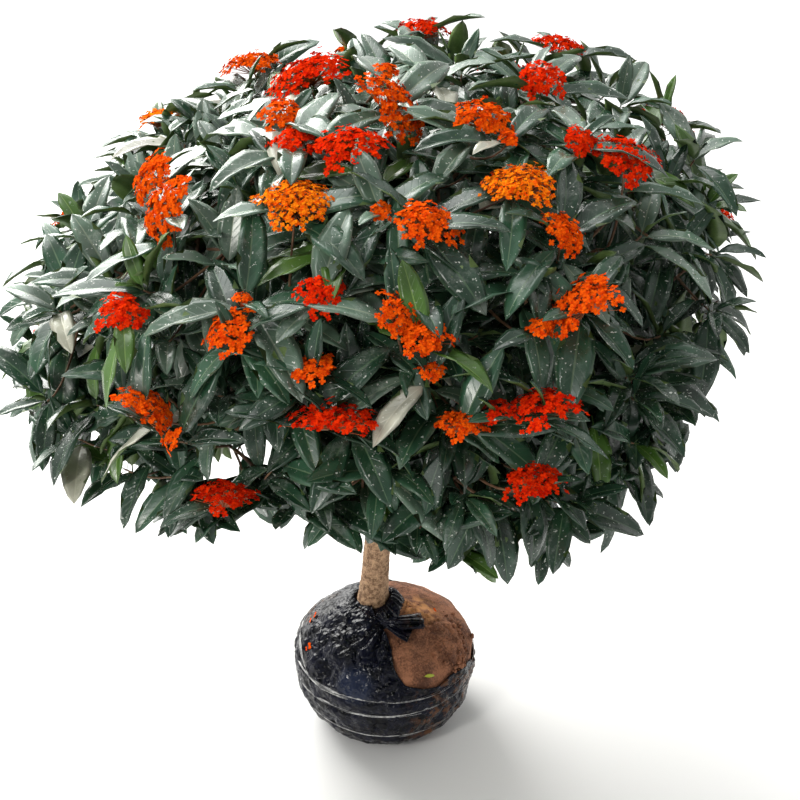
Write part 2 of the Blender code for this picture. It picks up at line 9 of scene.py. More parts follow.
import bpy
import numpy as np
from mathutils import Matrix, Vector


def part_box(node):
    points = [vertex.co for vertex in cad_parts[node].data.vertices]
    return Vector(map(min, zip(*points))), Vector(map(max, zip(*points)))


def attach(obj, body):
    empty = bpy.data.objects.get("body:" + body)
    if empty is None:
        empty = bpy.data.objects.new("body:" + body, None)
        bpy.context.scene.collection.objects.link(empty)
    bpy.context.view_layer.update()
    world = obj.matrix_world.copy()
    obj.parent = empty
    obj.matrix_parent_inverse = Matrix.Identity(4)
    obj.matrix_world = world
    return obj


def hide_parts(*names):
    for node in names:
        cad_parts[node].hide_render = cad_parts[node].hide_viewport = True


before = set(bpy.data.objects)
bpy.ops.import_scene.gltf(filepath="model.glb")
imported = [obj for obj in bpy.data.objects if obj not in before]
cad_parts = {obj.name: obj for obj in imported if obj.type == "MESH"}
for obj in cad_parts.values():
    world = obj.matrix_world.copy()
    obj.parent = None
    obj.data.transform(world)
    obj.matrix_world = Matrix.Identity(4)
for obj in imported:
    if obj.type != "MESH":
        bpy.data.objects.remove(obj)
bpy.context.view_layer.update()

# %% [markdown]
# ## Camera and light
# The view is from a standing person's eye, two metres off and looking down. The plant stands on a pale floor in soft
# light. A pale sky alone could light it, but then the waxy leaves and the film would have nothing bright to mirror.
# So there is a broad lamp over the far left side, which puts the sky's pale gloss on the upper leaves, a fill lamp
# and a small lamp beside the camera, and a sun behind thin cloud. The small lamp shows as crisp glints wherever the
# black film's folds lie at the right slant.

# %% Camera
CAMERA_PLACE = (0.027, -2.0, 1.78)
CAMERA_DIP = 29.4  # degrees below the horizon
CAMERA_LENS = 62.8  # millimetres, on a 36 mm sensor
IMAGE_SIDE = 800

camera = bpy.data.objects.new("camera", bpy.data.cameras.new("camera"))
camera.location = CAMERA_PLACE
camera.rotation_euler = (math.radians(90 - CAMERA_DIP), 0, 0)
camera.data.lens = CAMERA_LENS
scene = bpy.context.scene
scene.collection.objects.link(camera)
scene.camera = camera
scene.view_settings.view_transform = "Standard"
print("camera at", CAMERA_PLACE, "with a lens of", CAMERA_LENS)


# %% Lamps
def area_lamp(name, place, aim, size, power, colour=(1, 1, 1)):
    """A square lamp at a place, turned so that its -Z axis points at its aim."""
    lamp = bpy.data.lights.new(name, "AREA")
    lamp.size, lamp.energy, lamp.color = size, power, colour
    obj = bpy.data.objects.new(name, lamp)
    obj.location = place
    way = np.subtract(aim, place)
    across = math.atan2(-way[0], way[1])
    obj.rotation_euler = (math.atan2(math.hypot(way[0], way[1]), -way[2]), 0, across)
    scene.collection.objects.link(obj)


CROWN_MIDDLE = (0, 0, 0.8)
area_lamp("back_lamp", (-1.9, 2.7, 2.5), CROWN_MIDDLE, 2.6, 220, (1.0, 0.99, 0.95))
area_lamp("fill_lamp", (-1.6, -2.6, 2.8), CROWN_MIDDLE, 1.2, 18)
area_lamp("glint_lamp", (-1.6, -2.2, 1.9), (0, 0, 0.2), 0.3, 19, (1.0, 0.97, 0.90))

sun = bpy.data.lights.new("cloudy_sun", "SUN")
sun.energy, sun.angle = 2.1, math.radians(50)
sun_object = bpy.data.objects.new("cloudy_sun", sun)
sun_object.rotation_euler = (math.radians(-28), math.radians(-22), 0)
scene.collection.objects.link(sun_object)

# %% [markdown]
# ## Meshes from arrays
# The plant has thousands of leaves and flowers. They could be made point by point, or as instances of a few shapes,
# but the first way is slow and the second makes them all alike. So every surface here is worked out as whole numpy
# arrays and handed to Blender in one go. One helper makes a mesh from its points and its faces, and a second one
# makes it a piece that belongs to the plant's one body. Most surfaces are grids of points, so further helpers give a
# grid's faces, close its ends and repeat them for many copies of one shape.


# %% A mesh from arrays
def mesh_from_arrays(name, points, faces, uv=None, slots=None):
    """A mesh from an array of points and a list of face arrays, with UVs by point and material slots by face."""
    mesh = bpy.data.meshes.new(name)
    points = np.asarray(points, np.float32).reshape(-1, 3)
    corners = np.concatenate([f.ravel() for f in faces]).astype(np.int32)
    counts = np.concatenate([np.full(len(f), f.shape[1]) for f in faces])
    mesh.vertices.add(len(points))
    mesh.vertices.foreach_set("co", points.ravel())
    mesh.loops.add(len(corners))
    mesh.loops.foreach_set("vertex_index", corners)
    mesh.polygons.add(len(counts))
    mesh.polygons.foreach_set("loop_start", np.concatenate([[0], np.cumsum(counts)[:-1]]).astype(np.int32))
    if slots is not None:
        mesh.polygons.foreach_set("material_index", np.asarray(slots, np.int32))
    mesh.polygons.foreach_set("use_smooth", np.ones(len(counts), bool))
    mesh.update(calc_edges=True)
    if uv is not None:
        layer = mesh.uv_layers.new(name="blade")
        layer.data.foreach_set("uv", np.asarray(uv, np.float32).reshape(-1, 2)[corners].ravel())
    return mesh


# %% A piece of the plant
def add_piece(name, points, faces, materials, slot, replaced=(), uv=None, slots=None):
    """Makes arrays a piece of the plant's one body, with its materials and the nodes that it stands for."""
    mesh = mesh_from_arrays(name, points, faces, uv, slots)
    piece = bpy.data.objects.new(name, mesh)
    scene.collection.objects.link(piece)
    for material in materials:
        mesh.materials.append(material)
    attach(piece, "root")
    if replaced:
        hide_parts(*replaced)
    print(name, "faces", len(mesh.polygons))


# %% Faces of grids and of many copies
def grid_faces(rows, columns, closed=False):
    """The quads of a grid of points, row by row. A closed grid joins its last column to its first."""
    r, c = np.meshgrid(np.arange(rows - 1), np.arange(columns - (not closed)), indexing="ij")
    n = (c + 1) % columns
    quads = np.stack([r * columns + c, r * columns + n, (r + 1) * columns + n, (r + 1) * columns + c], -1)
    return quads.reshape(-1, 4)


def cap_faces(columns, first, apex, over):
    """Triangles that close a ring of columns, whose points start at first, with one point over it or under it."""
    k = np.arange(columns)
    ring = [first + k, first + (k + 1) % columns]
    return np.stack([*(ring if over else ring[::-1]), 0 * k + apex], -1)


def capped_grid(rows, columns):
    """Faces of a grid that is closed round its rows, and whose ends are capped by two points after the grid's own."""
    last = rows * columns
    caps = [cap_faces(columns, 0, last, False), cap_faces(columns, last - columns, last + 1, True)]
    return [grid_faces(rows, columns, closed=True), np.concatenate(caps)]


def copies(faces, count, points_each):
    """The faces of one shape for a count of shapes, whose points follow each other."""
    return (faces + np.arange(count)[:, None, None] * points_each).reshape(-1, faces.shape[-1])


def joined(parts):
    """Several (points, faces) made one: each part's faces are counted on from the points before it."""
    points = [p.reshape(-1, 3) for p, _ in parts]
    starts = np.cumsum([0] + [len(p) for p in points[:-1]])
    return np.concatenate(points), [f + start for (_, faces), start in zip(parts, starts) for f in faces]


# %% Directions and smooth noise
def unit(vectors):
    """Vectors divided by their own lengths."""
    return vectors / np.maximum(np.linalg.norm(vectors, axis=-1, keepdims=True), 1e-9)


def ripples(points, pitch, seed, count=18):
    """Smooth noise from -1 to 1: the mean of many cosine waves of about one pitch, in random directions."""
    rng = np.random.default_rng(seed)
    ways = unit(rng.normal(size=(count, 3))) * rng.uniform(0.6, 1.6, (count, 1))
    phases = rng.uniform(0, math.tau, count)
    return np.cos(points @ ways.T * (math.tau / pitch) + phases).mean(-1) * math.sqrt(count) * 0.7


# %% Sky and floor
world = bpy.data.worlds.new("pale_sky")
world.use_nodes = True
scene.world = world
sky = world.node_tree
sky_axes, sky_range = sky.nodes.new("ShaderNodeSeparateXYZ"), sky.nodes.new("ShaderNodeMapRange")
sky.links.new(sky.nodes.new("ShaderNodeTexCoord").outputs["Generated"], sky_axes.inputs[0])
sky.links.new(sky_axes.outputs[1], sky_range.inputs[0])
for socket, value in (("From Min", -0.5), ("From Max", 0.9), ("To Min", 0.35), ("To Max", 1.25)):
    sky_range.inputs[socket].default_value = value
background = sky.nodes["Background"]
background.inputs["Color"].default_value = (1.0, 1.0, 0.98, 1)
sky.links.new(sky_range.outputs[0], background.inputs["Strength"])

floor_points = np.array([(-15, -15, 0), (15, -15, 0), (15, 25, 0), (-15, 25, 0)])
floor = bpy.data.objects.new("floor", mesh_from_arrays("floor", floor_points, [np.array([[0, 1, 2, 3]])]))
scene.collection.objects.link(floor)
print("sky", world.name, "floor", [round(side) for side in floor.dimensions])

# %% [markdown]
# ## Materials
# Each finish is a Principled shader. Bark, soil and film could be painted on UV maps, but noise on Object coordinates
# needs no unwrapping and runs on without seams. What more than one finish uses, such as mottled colour, is a node
# group with named inputs, made once and placed in each material with its own values. A small helper wires the nodes.


# %% Node helpers
def new_material(name, colour, roughness, **sockets):
    """A Principled material. Extra sockets are given by name, with _ for each space."""
    material = bpy.data.materials.new(name)
    material.use_nodes = True
    shader = material.node_tree.nodes["Principled BSDF"]
    shader.inputs["Base Color"].default_value = (*colour, 1)
    shader.inputs["Roughness"].default_value = roughness
    for socket, value in sockets.items():
        shader.inputs[socket.replace("_", " ")].default_value = value
    return material


def add_node(tree, kind, inputs=(), **settings):
    """Adds a node, sets its settings, and for each (socket, source) pair links a node's output or sets a value."""
    node = tree.nodes.new(kind)
    for key, value in settings.items():
        setattr(node, key, value)
    for socket, source in inputs:
        if isinstance(source, bpy.types.NodeSocket):
            tree.links.new(source, node.inputs[socket])
        else:
            node.inputs[socket].default_value = source
    return node


def new_group(name, inputs, outputs):
    """A shader node group with typed sockets, and its input and output nodes."""
    group = bpy.data.node_groups.new(name, "ShaderNodeTree")
    for direction, sockets in (("INPUT", inputs), ("OUTPUT", outputs)):
        for socket, kind in sockets:
            group.interface.new_socket(socket, in_out=direction, socket_type="NodeSocket" + kind)
    return group, group.nodes.new("NodeGroupInput"), group.nodes.new("NodeGroupOutput")


def add_group(tree, group, **sockets):
    """Places a node group in a material's tree. Socket values are given by name, with _ for each space."""
    node = add_node(tree, "ShaderNodeGroup", node_tree=group)
    for socket, value in sockets.items():
        node.inputs[socket.replace("_", " ")].default_value = value
    return node


def maths(tree, operation, *values):
    """A math node's result."""
    return add_node(tree, "ShaderNodeMath", enumerate(values), operation=operation).outputs[0]


def mix_colours(tree, factor, first, second, blend="MIX"):
    """A colour mix node's result."""
    inputs = [(0, factor), (6, first), (7, second)]
    return add_node(tree, "ShaderNodeMix", inputs, data_type="RGBA", blend_type=blend).outputs[2]


def ramp(tree, value, low, high):
    """A value stretched so that low becomes 0 and high becomes 1, held within them."""
    node = add_node(tree, "ShaderNodeMapRange", [(0, value), (1, low), (2, high)], interpolation_type="SMOOTHSTEP")
    return node.outputs[0]


def object_place(tree):
    """The Object coordinates."""
    return add_node(tree, "ShaderNodeTexCoord").outputs["Object"]


def noise(tree, scale, detail=4.0, roughness=0.6):
    """A noise texture's value on Object coordinates."""
    inputs = [("Vector", object_place(tree)), ("Scale", scale), ("Detail", detail), ("Roughness", roughness)]
    return add_node(tree, "ShaderNodeTexNoise", inputs).outputs[0]


# %% Mottle group
# Two colours broken into each other at two scales, and a height for bump
mottle, m_in, m_out = new_group(
    "mottle",
    [("Dark", "Color"), ("Light", "Color"), ("Patch Scale", "Float"), ("Grain Scale", "Float")],
    [("Color", "Color"), ("Height", "Float")],
)
patches = noise(mottle, m_in.outputs["Patch Scale"], 3.0)
grain = noise(mottle, m_in.outputs["Grain Scale"], 6.0, 0.7)
share = ramp(mottle, maths(mottle, "ADD", patches, grain), 0.78, 1.22)
mottle.links.new(mix_colours(mottle, share, m_in.outputs["Dark"], m_in.outputs["Light"]), m_out.inputs["Color"])
mottle.links.new(grain, m_out.inputs["Height"])


# %% Mottled materials and tints over them
def mottled_material(name, dark, light, patch_scale, grain_scale, roughness, bump, **sockets):
    """A material whose colour and bump come from the mottle group."""
    material = new_material(name, light, roughness, **sockets)
    tree = material.node_tree
    shader = tree.nodes["Principled BSDF"]
    tints = {"Dark": (*dark, 1), "Light": (*light, 1)}
    group = add_group(tree, mottle, **tints, Patch_Scale=patch_scale, Grain_Scale=grain_scale)
    tree.links.new(group.outputs["Color"], shader.inputs["Base Color"])
    bump_inputs = [("Height", group.outputs["Height"]), ("Strength", bump), ("Distance", 0.002)]
    tree.links.new(add_node(tree, "ShaderNodeBump", bump_inputs).outputs[0], shader.inputs["Normal"])
    return material


def tint_base(material, *layers):
    """Lays tints over a material's base colour in turn, each by the product of its shares."""
    tree = material.node_tree
    base = tree.nodes["Principled BSDF"].inputs["Base Color"]
    colour = base.links[0].from_socket
    for tint, share, *others in layers:
        for other in others:
            share = maths(tree, "MULTIPLY", share, other)
        colour = mix_colours(tree, share, colour, (*tint, 1))
    tree.links.new(colour, base)


# %% Finishes of wood, soil and floor
bark_finish = mottled_material("bark", (0.17, 0.088, 0.045), (0.60, 0.38, 0.225), 130, 420, 0.85, 1.0)
twig_finish = mottled_material("twig_bark", (0.10, 0.045, 0.025), (0.22, 0.12, 0.06), 40, 300, 0.7, 0.3)
soil_finish = mottled_material("soil", (0.100, 0.038, 0.020), (0.400, 0.170, 0.088), 26, 300, 0.95, 1.0)
floor.data.materials.append(new_material("floor", (0.86, 0.86, 0.86), 0.9))
print("finishes", [material.name for material in bpy.data.materials])

# %% [markdown]
# ## The shape of the crown
# The crown is a boxy dome. It could be sculpted, or the leaves could grow as they like, but then its outline would be
# hard to steer. So how far it reaches from its heart is a formula of the direction, with a few swells where it stands
# out or falls short. The same formula and limbs were used for the solids, so the leaves that grow here end where the
# solids do.

# %% How far the crown reaches
HEART = np.array([0.0, 0.0, 0.80])
CROWN_HALVES = (0.63, 0.59)
CROWN_RISE, CROWN_DROP = 0.46, 0.28
CROWN_SQUARENESS = 2.25
UP = np.array([0.0, 0.0, 1.0])


def heading(azimuth, elevation):
    """A unit vector: azimuth in degrees round from +X, elevation in degrees above the horizon."""
    a, e = np.radians(azimuth), np.radians(elevation)
    return np.stack([np.cos(a) * np.cos(e), np.sin(a) * np.cos(e), np.sin(e) + 0 * a], -1)


CROWN_SWELLS = (
    (heading(6.0, 22.0), 0.09, 6),
    (heading(184.0, -1.0), 0.07, 10),
    (heading(178.0, 44.0), -0.16, 4),
    (heading(350.0, -12.0), -0.17, 5),
    (heading(195.0, -24.0), -0.05, 6),
    (heading(262.0, -22.0), -0.12, 10),
    (heading(302.0, -32.0), 0.12, 14),
)


def reach(ways):
    """The crown's reach by direction: a boxy ellipsoid, times one plus each swell's share where it points that way."""
    last = np.where(ways[..., 2] > 0, CROWN_RISE, CROWN_DROP)
    halves = np.stack([0 * last + CROWN_HALVES[0], 0 * last + CROWN_HALVES[1], last], -1)
    total = (np.abs(ways / halves) ** CROWN_SQUARENESS).sum(-1)
    swell = sum(share * np.maximum(0, ways @ way) ** narrow for way, share, narrow in CROWN_SWELLS)
    return total ** (-1 / CROWN_SQUARENESS) * (1 + swell)


def bent(start, lean, end, shares):
    """Points of a quadratic Bezier arc from start to end, which leaves its start towards lean."""
    t = np.asarray(shares)[..., None]
    return start * (1 - t) ** 2 + lean * 2 * t * (1 - t) + end * t**2


print("reach to the sides and top", reach(np.array([[1.0, 0, 0], [-1.0, 0, 0], [0, 0, 1.0]])).round(3))

# %% [markdown]
# ## Trunk and boughs
# A limb is a round section carried along an arc while it tapers. A curve object with a bevel could do that, but its
# skin would be smooth, and young osmanthus bark is tan and finely flaked. With rings of points the skin is pushed in
# and out as real relief: by fine long ripples on the trunk, and by fainter ones on the boughs, which are younger. The
# limbs start at the same places as the solid ones and replace them.

# %% Limb arcs
FOOT_X, FORK_X = -0.021, 0.002
FOOT_HEIGHT, FORK_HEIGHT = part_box("trunk")[0][2], 0.57
LOW_AZIMUTHS = (188.0, 231.0, 267.0, 299.0, 343.0, 30.0, 83.0, 138.0)
LOW_ELEVATIONS = (-4.0, -11.0, -5.0, -10.0, -2.0, -6.0, -7.0, -6.0)
LOW_HEIGHTS = (0.445, 0.475, 0.505, 0.460, 0.490, 0.450, 0.520, 0.480)
SIDE_TURN, SIDE_ELEVATION, SIDE_START = 21.0, 27.0, 0.42
TOP_AZIMUTHS = (205.0, 298.0, 25.0, 112.0)
TOP_ELEVATION = 57.0
TOP_STARTS = (0.20, 0.32, 0.44, 0.56)
LEADER_LENGTH = 0.30
TIP_SHARE, HUB_SHARE, CELL_SHARE = 0.44, 0.62, 0.74
TIP_RADIUS = 0.0042


def trunk_axis(height):
    """The trunk's middle: a straight lean from its foot to the fork."""
    share = (height - FOOT_HEIGHT) / (FORK_HEIGHT - FOOT_HEIGHT)
    return np.array([FOOT_X + (FORK_X - FOOT_X) * share, 0.0, height])


def limb_arcs():
    """Each limb's name, start, lean and end, its base radius, and the direction of the mass that it carries."""
    arcs = []
    for i, (azimuth, elevation, height) in enumerate(zip(LOW_AZIMUTHS, LOW_ELEVATIONS, LOW_HEIGHTS), 1):
        way = heading(azimuth, elevation)
        start, end = trunk_axis(height), HEART + way * reach(way) * TIP_SHARE
        lean = start + heading(azimuth, 38.0) * np.linalg.norm(end - start) * 0.55
        arcs.append((f"bough_low_{i}", start, lean, end, 0.0105, way))
        side_way = heading(azimuth + SIDE_TURN, SIDE_ELEVATION)
        side_start = bent(start, lean, end, SIDE_START)
        side_end = HEART + side_way * reach(side_way) * TIP_SHARE
        gap = np.linalg.norm(side_end - side_start)
        side_lean = side_start + heading(azimuth + SIDE_TURN * 1.6, 48.0) * gap * 0.5
        arcs.append((f"bough_side_{i}", side_start, side_lean, side_end, 0.0068, side_way))
    fork = np.array([trunk_axis(FORK_HEIGHT - 0.02)[0], 0.0, FORK_HEIGHT])
    half = fork + UP * LEADER_LENGTH / 2
    top = fork + np.array([0.012, 0.0, LEADER_LENGTH])
    arcs.append(("leader", fork - UP * 0.01, half, top, 0.0165, unit(np.array([0.03, 0.0, 1.0]))))
    for i, (azimuth, share) in enumerate(zip(TOP_AZIMUTHS, TOP_STARTS), 1):
        way = heading(azimuth, TOP_ELEVATION)
        start, end = bent(fork, half, top, share), HEART + way * reach(way) * (TIP_SHARE + 0.06)
        lean = start + heading(azimuth, 30.0) * np.linalg.norm(end - start) * 0.6
        arcs.append((f"bough_top_{i}", start, lean, end, 0.0075, way))
    return arcs


ARCS = limb_arcs()
print("limbs", len(ARCS))


# %% Tubes
def tubes(paths, radii, sides, relief=None):
    """Round tubes along paths (m, n, 3) with radii (m, n): rings of points square to each path, capped by a point at
    both ends. Relief gives a share to add to the radius from the ring points' places."""
    m, n = radii.shape
    along = unit(np.gradient(paths, axis=1))
    chord = unit(paths[:, -1] - paths[:, 0])
    spare = np.where(np.abs(chord[:, :1]) < 0.7, np.array([[1.0, 0, 0]]), np.array([[0, 1.0, 0]]))
    side = unit(np.cross(along, spare[:, None]))
    turn = math.tau * np.arange(sides) / sides
    around = side[:, :, None] * np.cos(turn)[:, None] + np.cross(along, side)[:, :, None] * np.sin(turn)[:, None]
    rings = paths[:, :, None] + around * radii[:, :, None, None]
    if relief is not None:
        rings = rings + around * (radii[:, :, None] * relief(rings))[..., None]
    ends = np.stack([paths[:, 0] - along[:, 0] * radii[:, :1] * 0.4, paths[:, -1] + along[:, -1] * radii[:, -1:]], 1)
    points = np.concatenate([rings.reshape(m, n * sides, 3), ends], 1)
    return points, [copies(part, m, n * sides + 2) for part in capped_grid(n, sides)]


# %% Trunk and bough pieces
BARK_FLAKE = 0.008


def bark_relief(points):
    """Long flakes up the trunk: ridged ripples of a stretched place, with finer grains over them."""
    stretched = points * np.array([1.0, 1.0, 0.42])
    return 0.035 * np.abs(ripples(stretched, BARK_FLAKE, 1)) + 0.022 * ripples(points, 0.004, 2) - 0.02


def young_relief(points):
    """Faint ripples for young bark."""
    return 0.06 * ripples(points, 0.012, 3)


heights = np.linspace(FOOT_HEIGHT, FORK_HEIGHT, 130)
foot = FOOT_HEIGHT
outline_heights = (foot, foot + 0.004, foot + 0.020, foot + 0.050, foot + 0.110, foot + 0.170, FORK_HEIGHT)
outline_radii = (0.029, 0.0286, 0.0261, 0.0245, 0.0230, 0.0226, 0.0200)
trunk_path = np.stack([trunk_axis(h) for h in heights])[None]
trunk_radii = np.interp(heights, outline_heights, outline_radii)[None]
points, faces = tubes(trunk_path, trunk_radii, 96, bark_relief)
add_piece("bark_trunk", points, faces, [bark_finish], "bark", ["trunk"])

shares = np.linspace(0, 1, 44)
bough_paths = np.stack([bent(start, lean, end, shares) for _, start, lean, end, _, _ in ARCS])
bough_radii = np.stack([base + (TIP_RADIUS - base) * shares**0.8 for _, _, _, _, base, _ in ARCS])
points, faces = tubes(bough_paths, bough_radii, 16, young_relief)
add_piece("bark_boughs", points, faces, [bark_finish], "bark", [arc[0] for arc in ARCS])

# %% [markdown]
# ## Shoots
# Each mass of foliage starts as a stem at its limb's tip, parts into a few main shoots at a hub, and then carries
# finer twigs. Twigs could be grown outwards by forking rules, but then their ends crowd in some places and leave
# holes in others. So they are found from their ends: spots are spread evenly through the crown by the golden angle,
# in an outer and an inner layer, each spot belongs to the mass whose middle is nearest, and a twig grows to it from
# the nearest shoot of that mass. Where a head of blossom shows from the front, a spot is put on that line of sight.

# %% Heads of blossom seen from the front
# Each head's middle, length, width and slant in the view, and its tint: in pixels and degrees, for a view 800 wide
HEADS_IN_VIEW = (
    (310, 82, 84, 18, 23, "red"), (390, 112, 82, 32, -48, "orange"), (386, 76, 24, 12, -15, "orange"),
    (287, 122, 56, 30, -8, "orange"), (296, 147, 46, 24, 0, "red"), (349, 153, 72, 36, 4, "red"),
    (541, 84, 48, 36, 0, "red"), (481, 124, 60, 34, -14, "orange"), (508, 143, 18, 14, 0, "orange"),
    (578, 146, 38, 25, -38, "red"), (624, 164, 72, 36, -24, "red"), (296, 209, 81, 39, 0, "amber"),
    (521, 191, 74, 34, 0, "amber"), (172, 212, 70, 34, 68, "orange"), (158, 180, 56, 26, 60, "orange"),
    (425, 229, 68, 38, -18, "orange"), (381, 216, 22, 18, 0, "orange"), (560, 236, 50, 28, -48, "orange"),
    (121, 316, 48, 38, 0, "red"), (233, 336, 56, 38, 38, "orange"), (242, 304, 20, 12, 0, "orange"),
    (320, 299, 49, 40, 0, "red"), (396, 320, 56, 36, -52, "orange"), (424, 340, 58, 38, -10, "orange"),
    (583, 309, 84, 40, 36, "orange"), (541, 332, 26, 18, 0, "orange"), (313, 375, 54, 26, 18, "orange"),
    (143, 413, 64, 26, -32, "orange"), (176, 441, 24, 15, 70, "orange"), (335, 425, 86, 26, 0, "red"),
    (462, 431, 54, 24, 0, "orange"), (494, 418, 42, 22, 0, "red"), (545, 413, 74, 34, 6, "red"),
    (431, 376, 28, 18, 0, "orange"), (534, 487, 60, 38, 0, "red"), (224, 503, 64, 22, 0, "red"),
)
print("heads in view", len(HEADS_IN_VIEW))

# %% From the view to the crown
PIXELS_PER_RADIAN = CAMERA_LENS / 36 * IMAGE_SIDE
view_ahead = np.array([0, math.cos(math.radians(CAMERA_DIP)), -math.sin(math.radians(CAMERA_DIP))])
view_right = np.array([1.0, 0, 0])
view_up = np.cross(view_right, view_ahead)


def seen_at(points):
    """Where points fall in the view, in pixels across and down, and how far ahead of the camera they are."""
    away = points - np.array(CAMERA_PLACE)
    ahead = away @ view_ahead
    scale = PIXELS_PER_RADIAN / ahead
    return IMAGE_SIDE / 2 + away @ view_right * scale, IMAGE_SIDE / 2 - away @ view_up * scale, ahead


def on_crown(x, y, share):
    """Where the line of sight through a pixel first comes within a share of the crown's reach, or passes nearest."""
    half = IMAGE_SIDE / 2
    line = unit(view_ahead * PIXELS_PER_RADIAN + view_right * (x - half) - view_up * (y - half))
    spots = np.array(CAMERA_PLACE) + line * np.linspace(1.0, 3.2, 900)[:, None]
    away = np.linalg.norm(spots - HEART, axis=1) / (reach(unit(spots - HEART)) * share)
    inside = np.nonzero(away < 1)[0]
    return spots[inside[0] if len(inside) else np.argmin(away)]


def head_facing(spot, ratio, slant):
    """Which way a flat head faces whose disc is seen as an ellipse of this ratio with its long axis at this slant."""
    towards = unit(np.array(CAMERA_PLACE) - spot)
    long_axis = view_right * math.cos(math.radians(slant)) + view_up * math.sin(math.radians(slant))
    across = unit(np.cross(towards, long_axis))
    across = across * np.sign(across @ (unit(spot - HEART) + 1.5 * UP))
    return unit(towards * ratio + across * math.sqrt(1 - ratio**2))


# %% Places, lengths and facings of the heads
head_spots = np.array([on_crown(x, y, 0.95) for x, y, *_ in HEADS_IN_VIEW])
depths = seen_at(head_spots)[2]
head_lengths = np.array([row[2] for row in HEADS_IN_VIEW]) * depths / PIXELS_PER_RADIAN
head_ways = np.array([head_facing(spot, row[3] / row[2], row[4]) for spot, row in zip(head_spots, HEADS_IN_VIEW)])
head_tints = [row[5] for row in HEADS_IN_VIEW]
print("heads", len(head_spots), "lengths", np.round([min(head_lengths), max(head_lengths)], 3))

# %% Spots through the crown
GOLDEN_ANGLE = math.radians(137.50776)
OUTER_SPOTS, INNER_SPOTS, FAR_HEADS = 235, 200, 34
LOWEST_SPOT = -0.62  # of a unit ball that is stretched over the crown
HEAD_CLEARANCE = 0.045
rng = np.random.default_rng(7)


def even_ways(count, lowest, start=0.5):
    """Directions spread evenly over a ball from its top down to a lowest height, then stretched like the crown."""
    k = np.arange(count) + start
    z = 1 - k / count * (1 - lowest)
    flat = np.sqrt(1 - z**2)
    turn = GOLDEN_ANGLE * k
    drop = np.where(z > 0, CROWN_RISE, CROWN_DROP + 0.06)
    return unit(np.stack([flat * np.cos(turn) * CROWN_HALVES[0], flat * np.sin(turn) * CROWN_HALVES[1], z * drop], -1))


def layer_of_spots(count, nearest, furthest):
    """Spots at random shares of the reach, in even directions that are shaken a little."""
    ways = unit(even_ways(count, LOWEST_SPOT) + rng.normal(0, 0.045, (count, 3)))
    return HEART + ways * (reach(ways) * rng.uniform(nearest, furthest, count))[:, None]


def far_heads(count):
    """Heads of blossom on the side away from the camera: even directions with Y above 0, near the crown's skin."""
    ways = even_ways(count * 2, -0.45, 0.8)
    ways = ways[ways[:, 1] > 0.22][:count]
    return HEART + ways * (reach(ways) * 0.93)[:, None]


far_spots = far_heads(FAR_HEADS)
head_spots = np.concatenate([head_spots, far_spots])
head_lengths = np.concatenate([head_lengths, rng.uniform(0.05, 0.10, len(far_spots))])
head_ways = np.concatenate([head_ways, unit(unit(far_spots - HEART) * 0.5 + UP)])
head_tints += [("red", "orange", "red", "orange", "amber")[i % 5] for i in range(len(far_spots))]
plain_spots = np.concatenate([layer_of_spots(OUTER_SPOTS, 0.76, 0.88), layer_of_spots(INNER_SPOTS, 0.46, 0.66)])
gaps = np.linalg.norm(plain_spots[:, None] - head_spots[None], axis=-1).min(1)
plain_spots = plain_spots[gaps > HEAD_CLEARANCE]
SPOTS = np.concatenate([head_spots, plain_spots])
print("spots", len(SPOTS), "of them with blossom", len(head_spots))

# %% Stems, main shoots and twigs
MAIN_SHOOTS = 4
SHOOT_SPREAD = 0.33
TWIG_STEPS = 7


def side_ways(way, count, spread, turned):
    """Directions at an angle from a middle one, evenly round it."""
    side = unit(np.cross(way, UP if abs(way[2]) < 0.9 else np.array([1.0, 0, 0])))
    turn = turned + math.tau * np.arange(count)[:, None] / count
    around = side * np.cos(turn) + np.cross(way, side) * np.sin(turn)
    return unit(way * math.cos(spread) + around * math.sin(spread))


def tip_way(spots):
    """Where a shoot's tip points: outwards and, the higher it stands, the more upwards, as shoots turn to the light."""
    rise = np.clip((spots[..., 2:] - 0.60) / 0.25, 0.05, 1)
    return unit(unit(spots - HEART) * 0.55 + UP * rise)


centres = np.array([HEART + arc[5] * reach(arc[5]) * CELL_SHARE for arc in ARCS])
owner = np.linalg.norm(SPOTS[:, None] - centres[None], axis=-1).argmin(1)
stem_paths, shoot_paths, twig_arcs = [], [], []
steps = np.linspace(0, 1, TWIG_STEPS)
for index, (name, start, lean, end, base, way) in enumerate(ARCS):
    along = unit(end - lean)
    hub = HEART + way * reach(way) * HUB_SHARE
    stem = bent(end, end + along * np.linalg.norm(hub - end) * 0.45, hub, steps)
    stem_paths.append(stem)
    ways = [way, *side_ways(way, MAIN_SHOOTS - 1, SHOOT_SPREAD, rng.uniform(0, math.tau))]
    ends = [HEART + w * reach(w) * 0.80 for w in ways]
    shoots = [bent(hub, hub + (along + unit(e - hub)) * 0.06, e, steps) for e in ends]
    shoot_paths += shoots
    carriers = np.concatenate([stem[2:], *[shoot[:-1] for shoot in shoots]])
    headings = unit(np.concatenate([np.gradient(stem, axis=0)[2:], *[np.gradient(s, axis=0)[:-1] for s in shoots]]))
    for spot in SPOTS[owner == index]:
        gap = np.linalg.norm(carriers - spot, axis=1)
        behind = np.maximum(0, np.linalg.norm(carriers - HEART, axis=1) - np.linalg.norm(spot - HEART) + 0.04)
        best = np.argmin(np.where(gap > 0.04, gap, 1.0) + 2 * behind)
        leaving = carriers[best] + unit(headings[best] + unit(spot - carriers[best])) * gap[best] * 0.5
        arriving = spot - tip_way(spot) * gap[best] * 0.5
        twig_arcs.append((carriers[best], (leaving + arriving) / 2, spot))
order = np.concatenate([np.nonzero(owner == index)[0] for index in range(len(ARCS))])
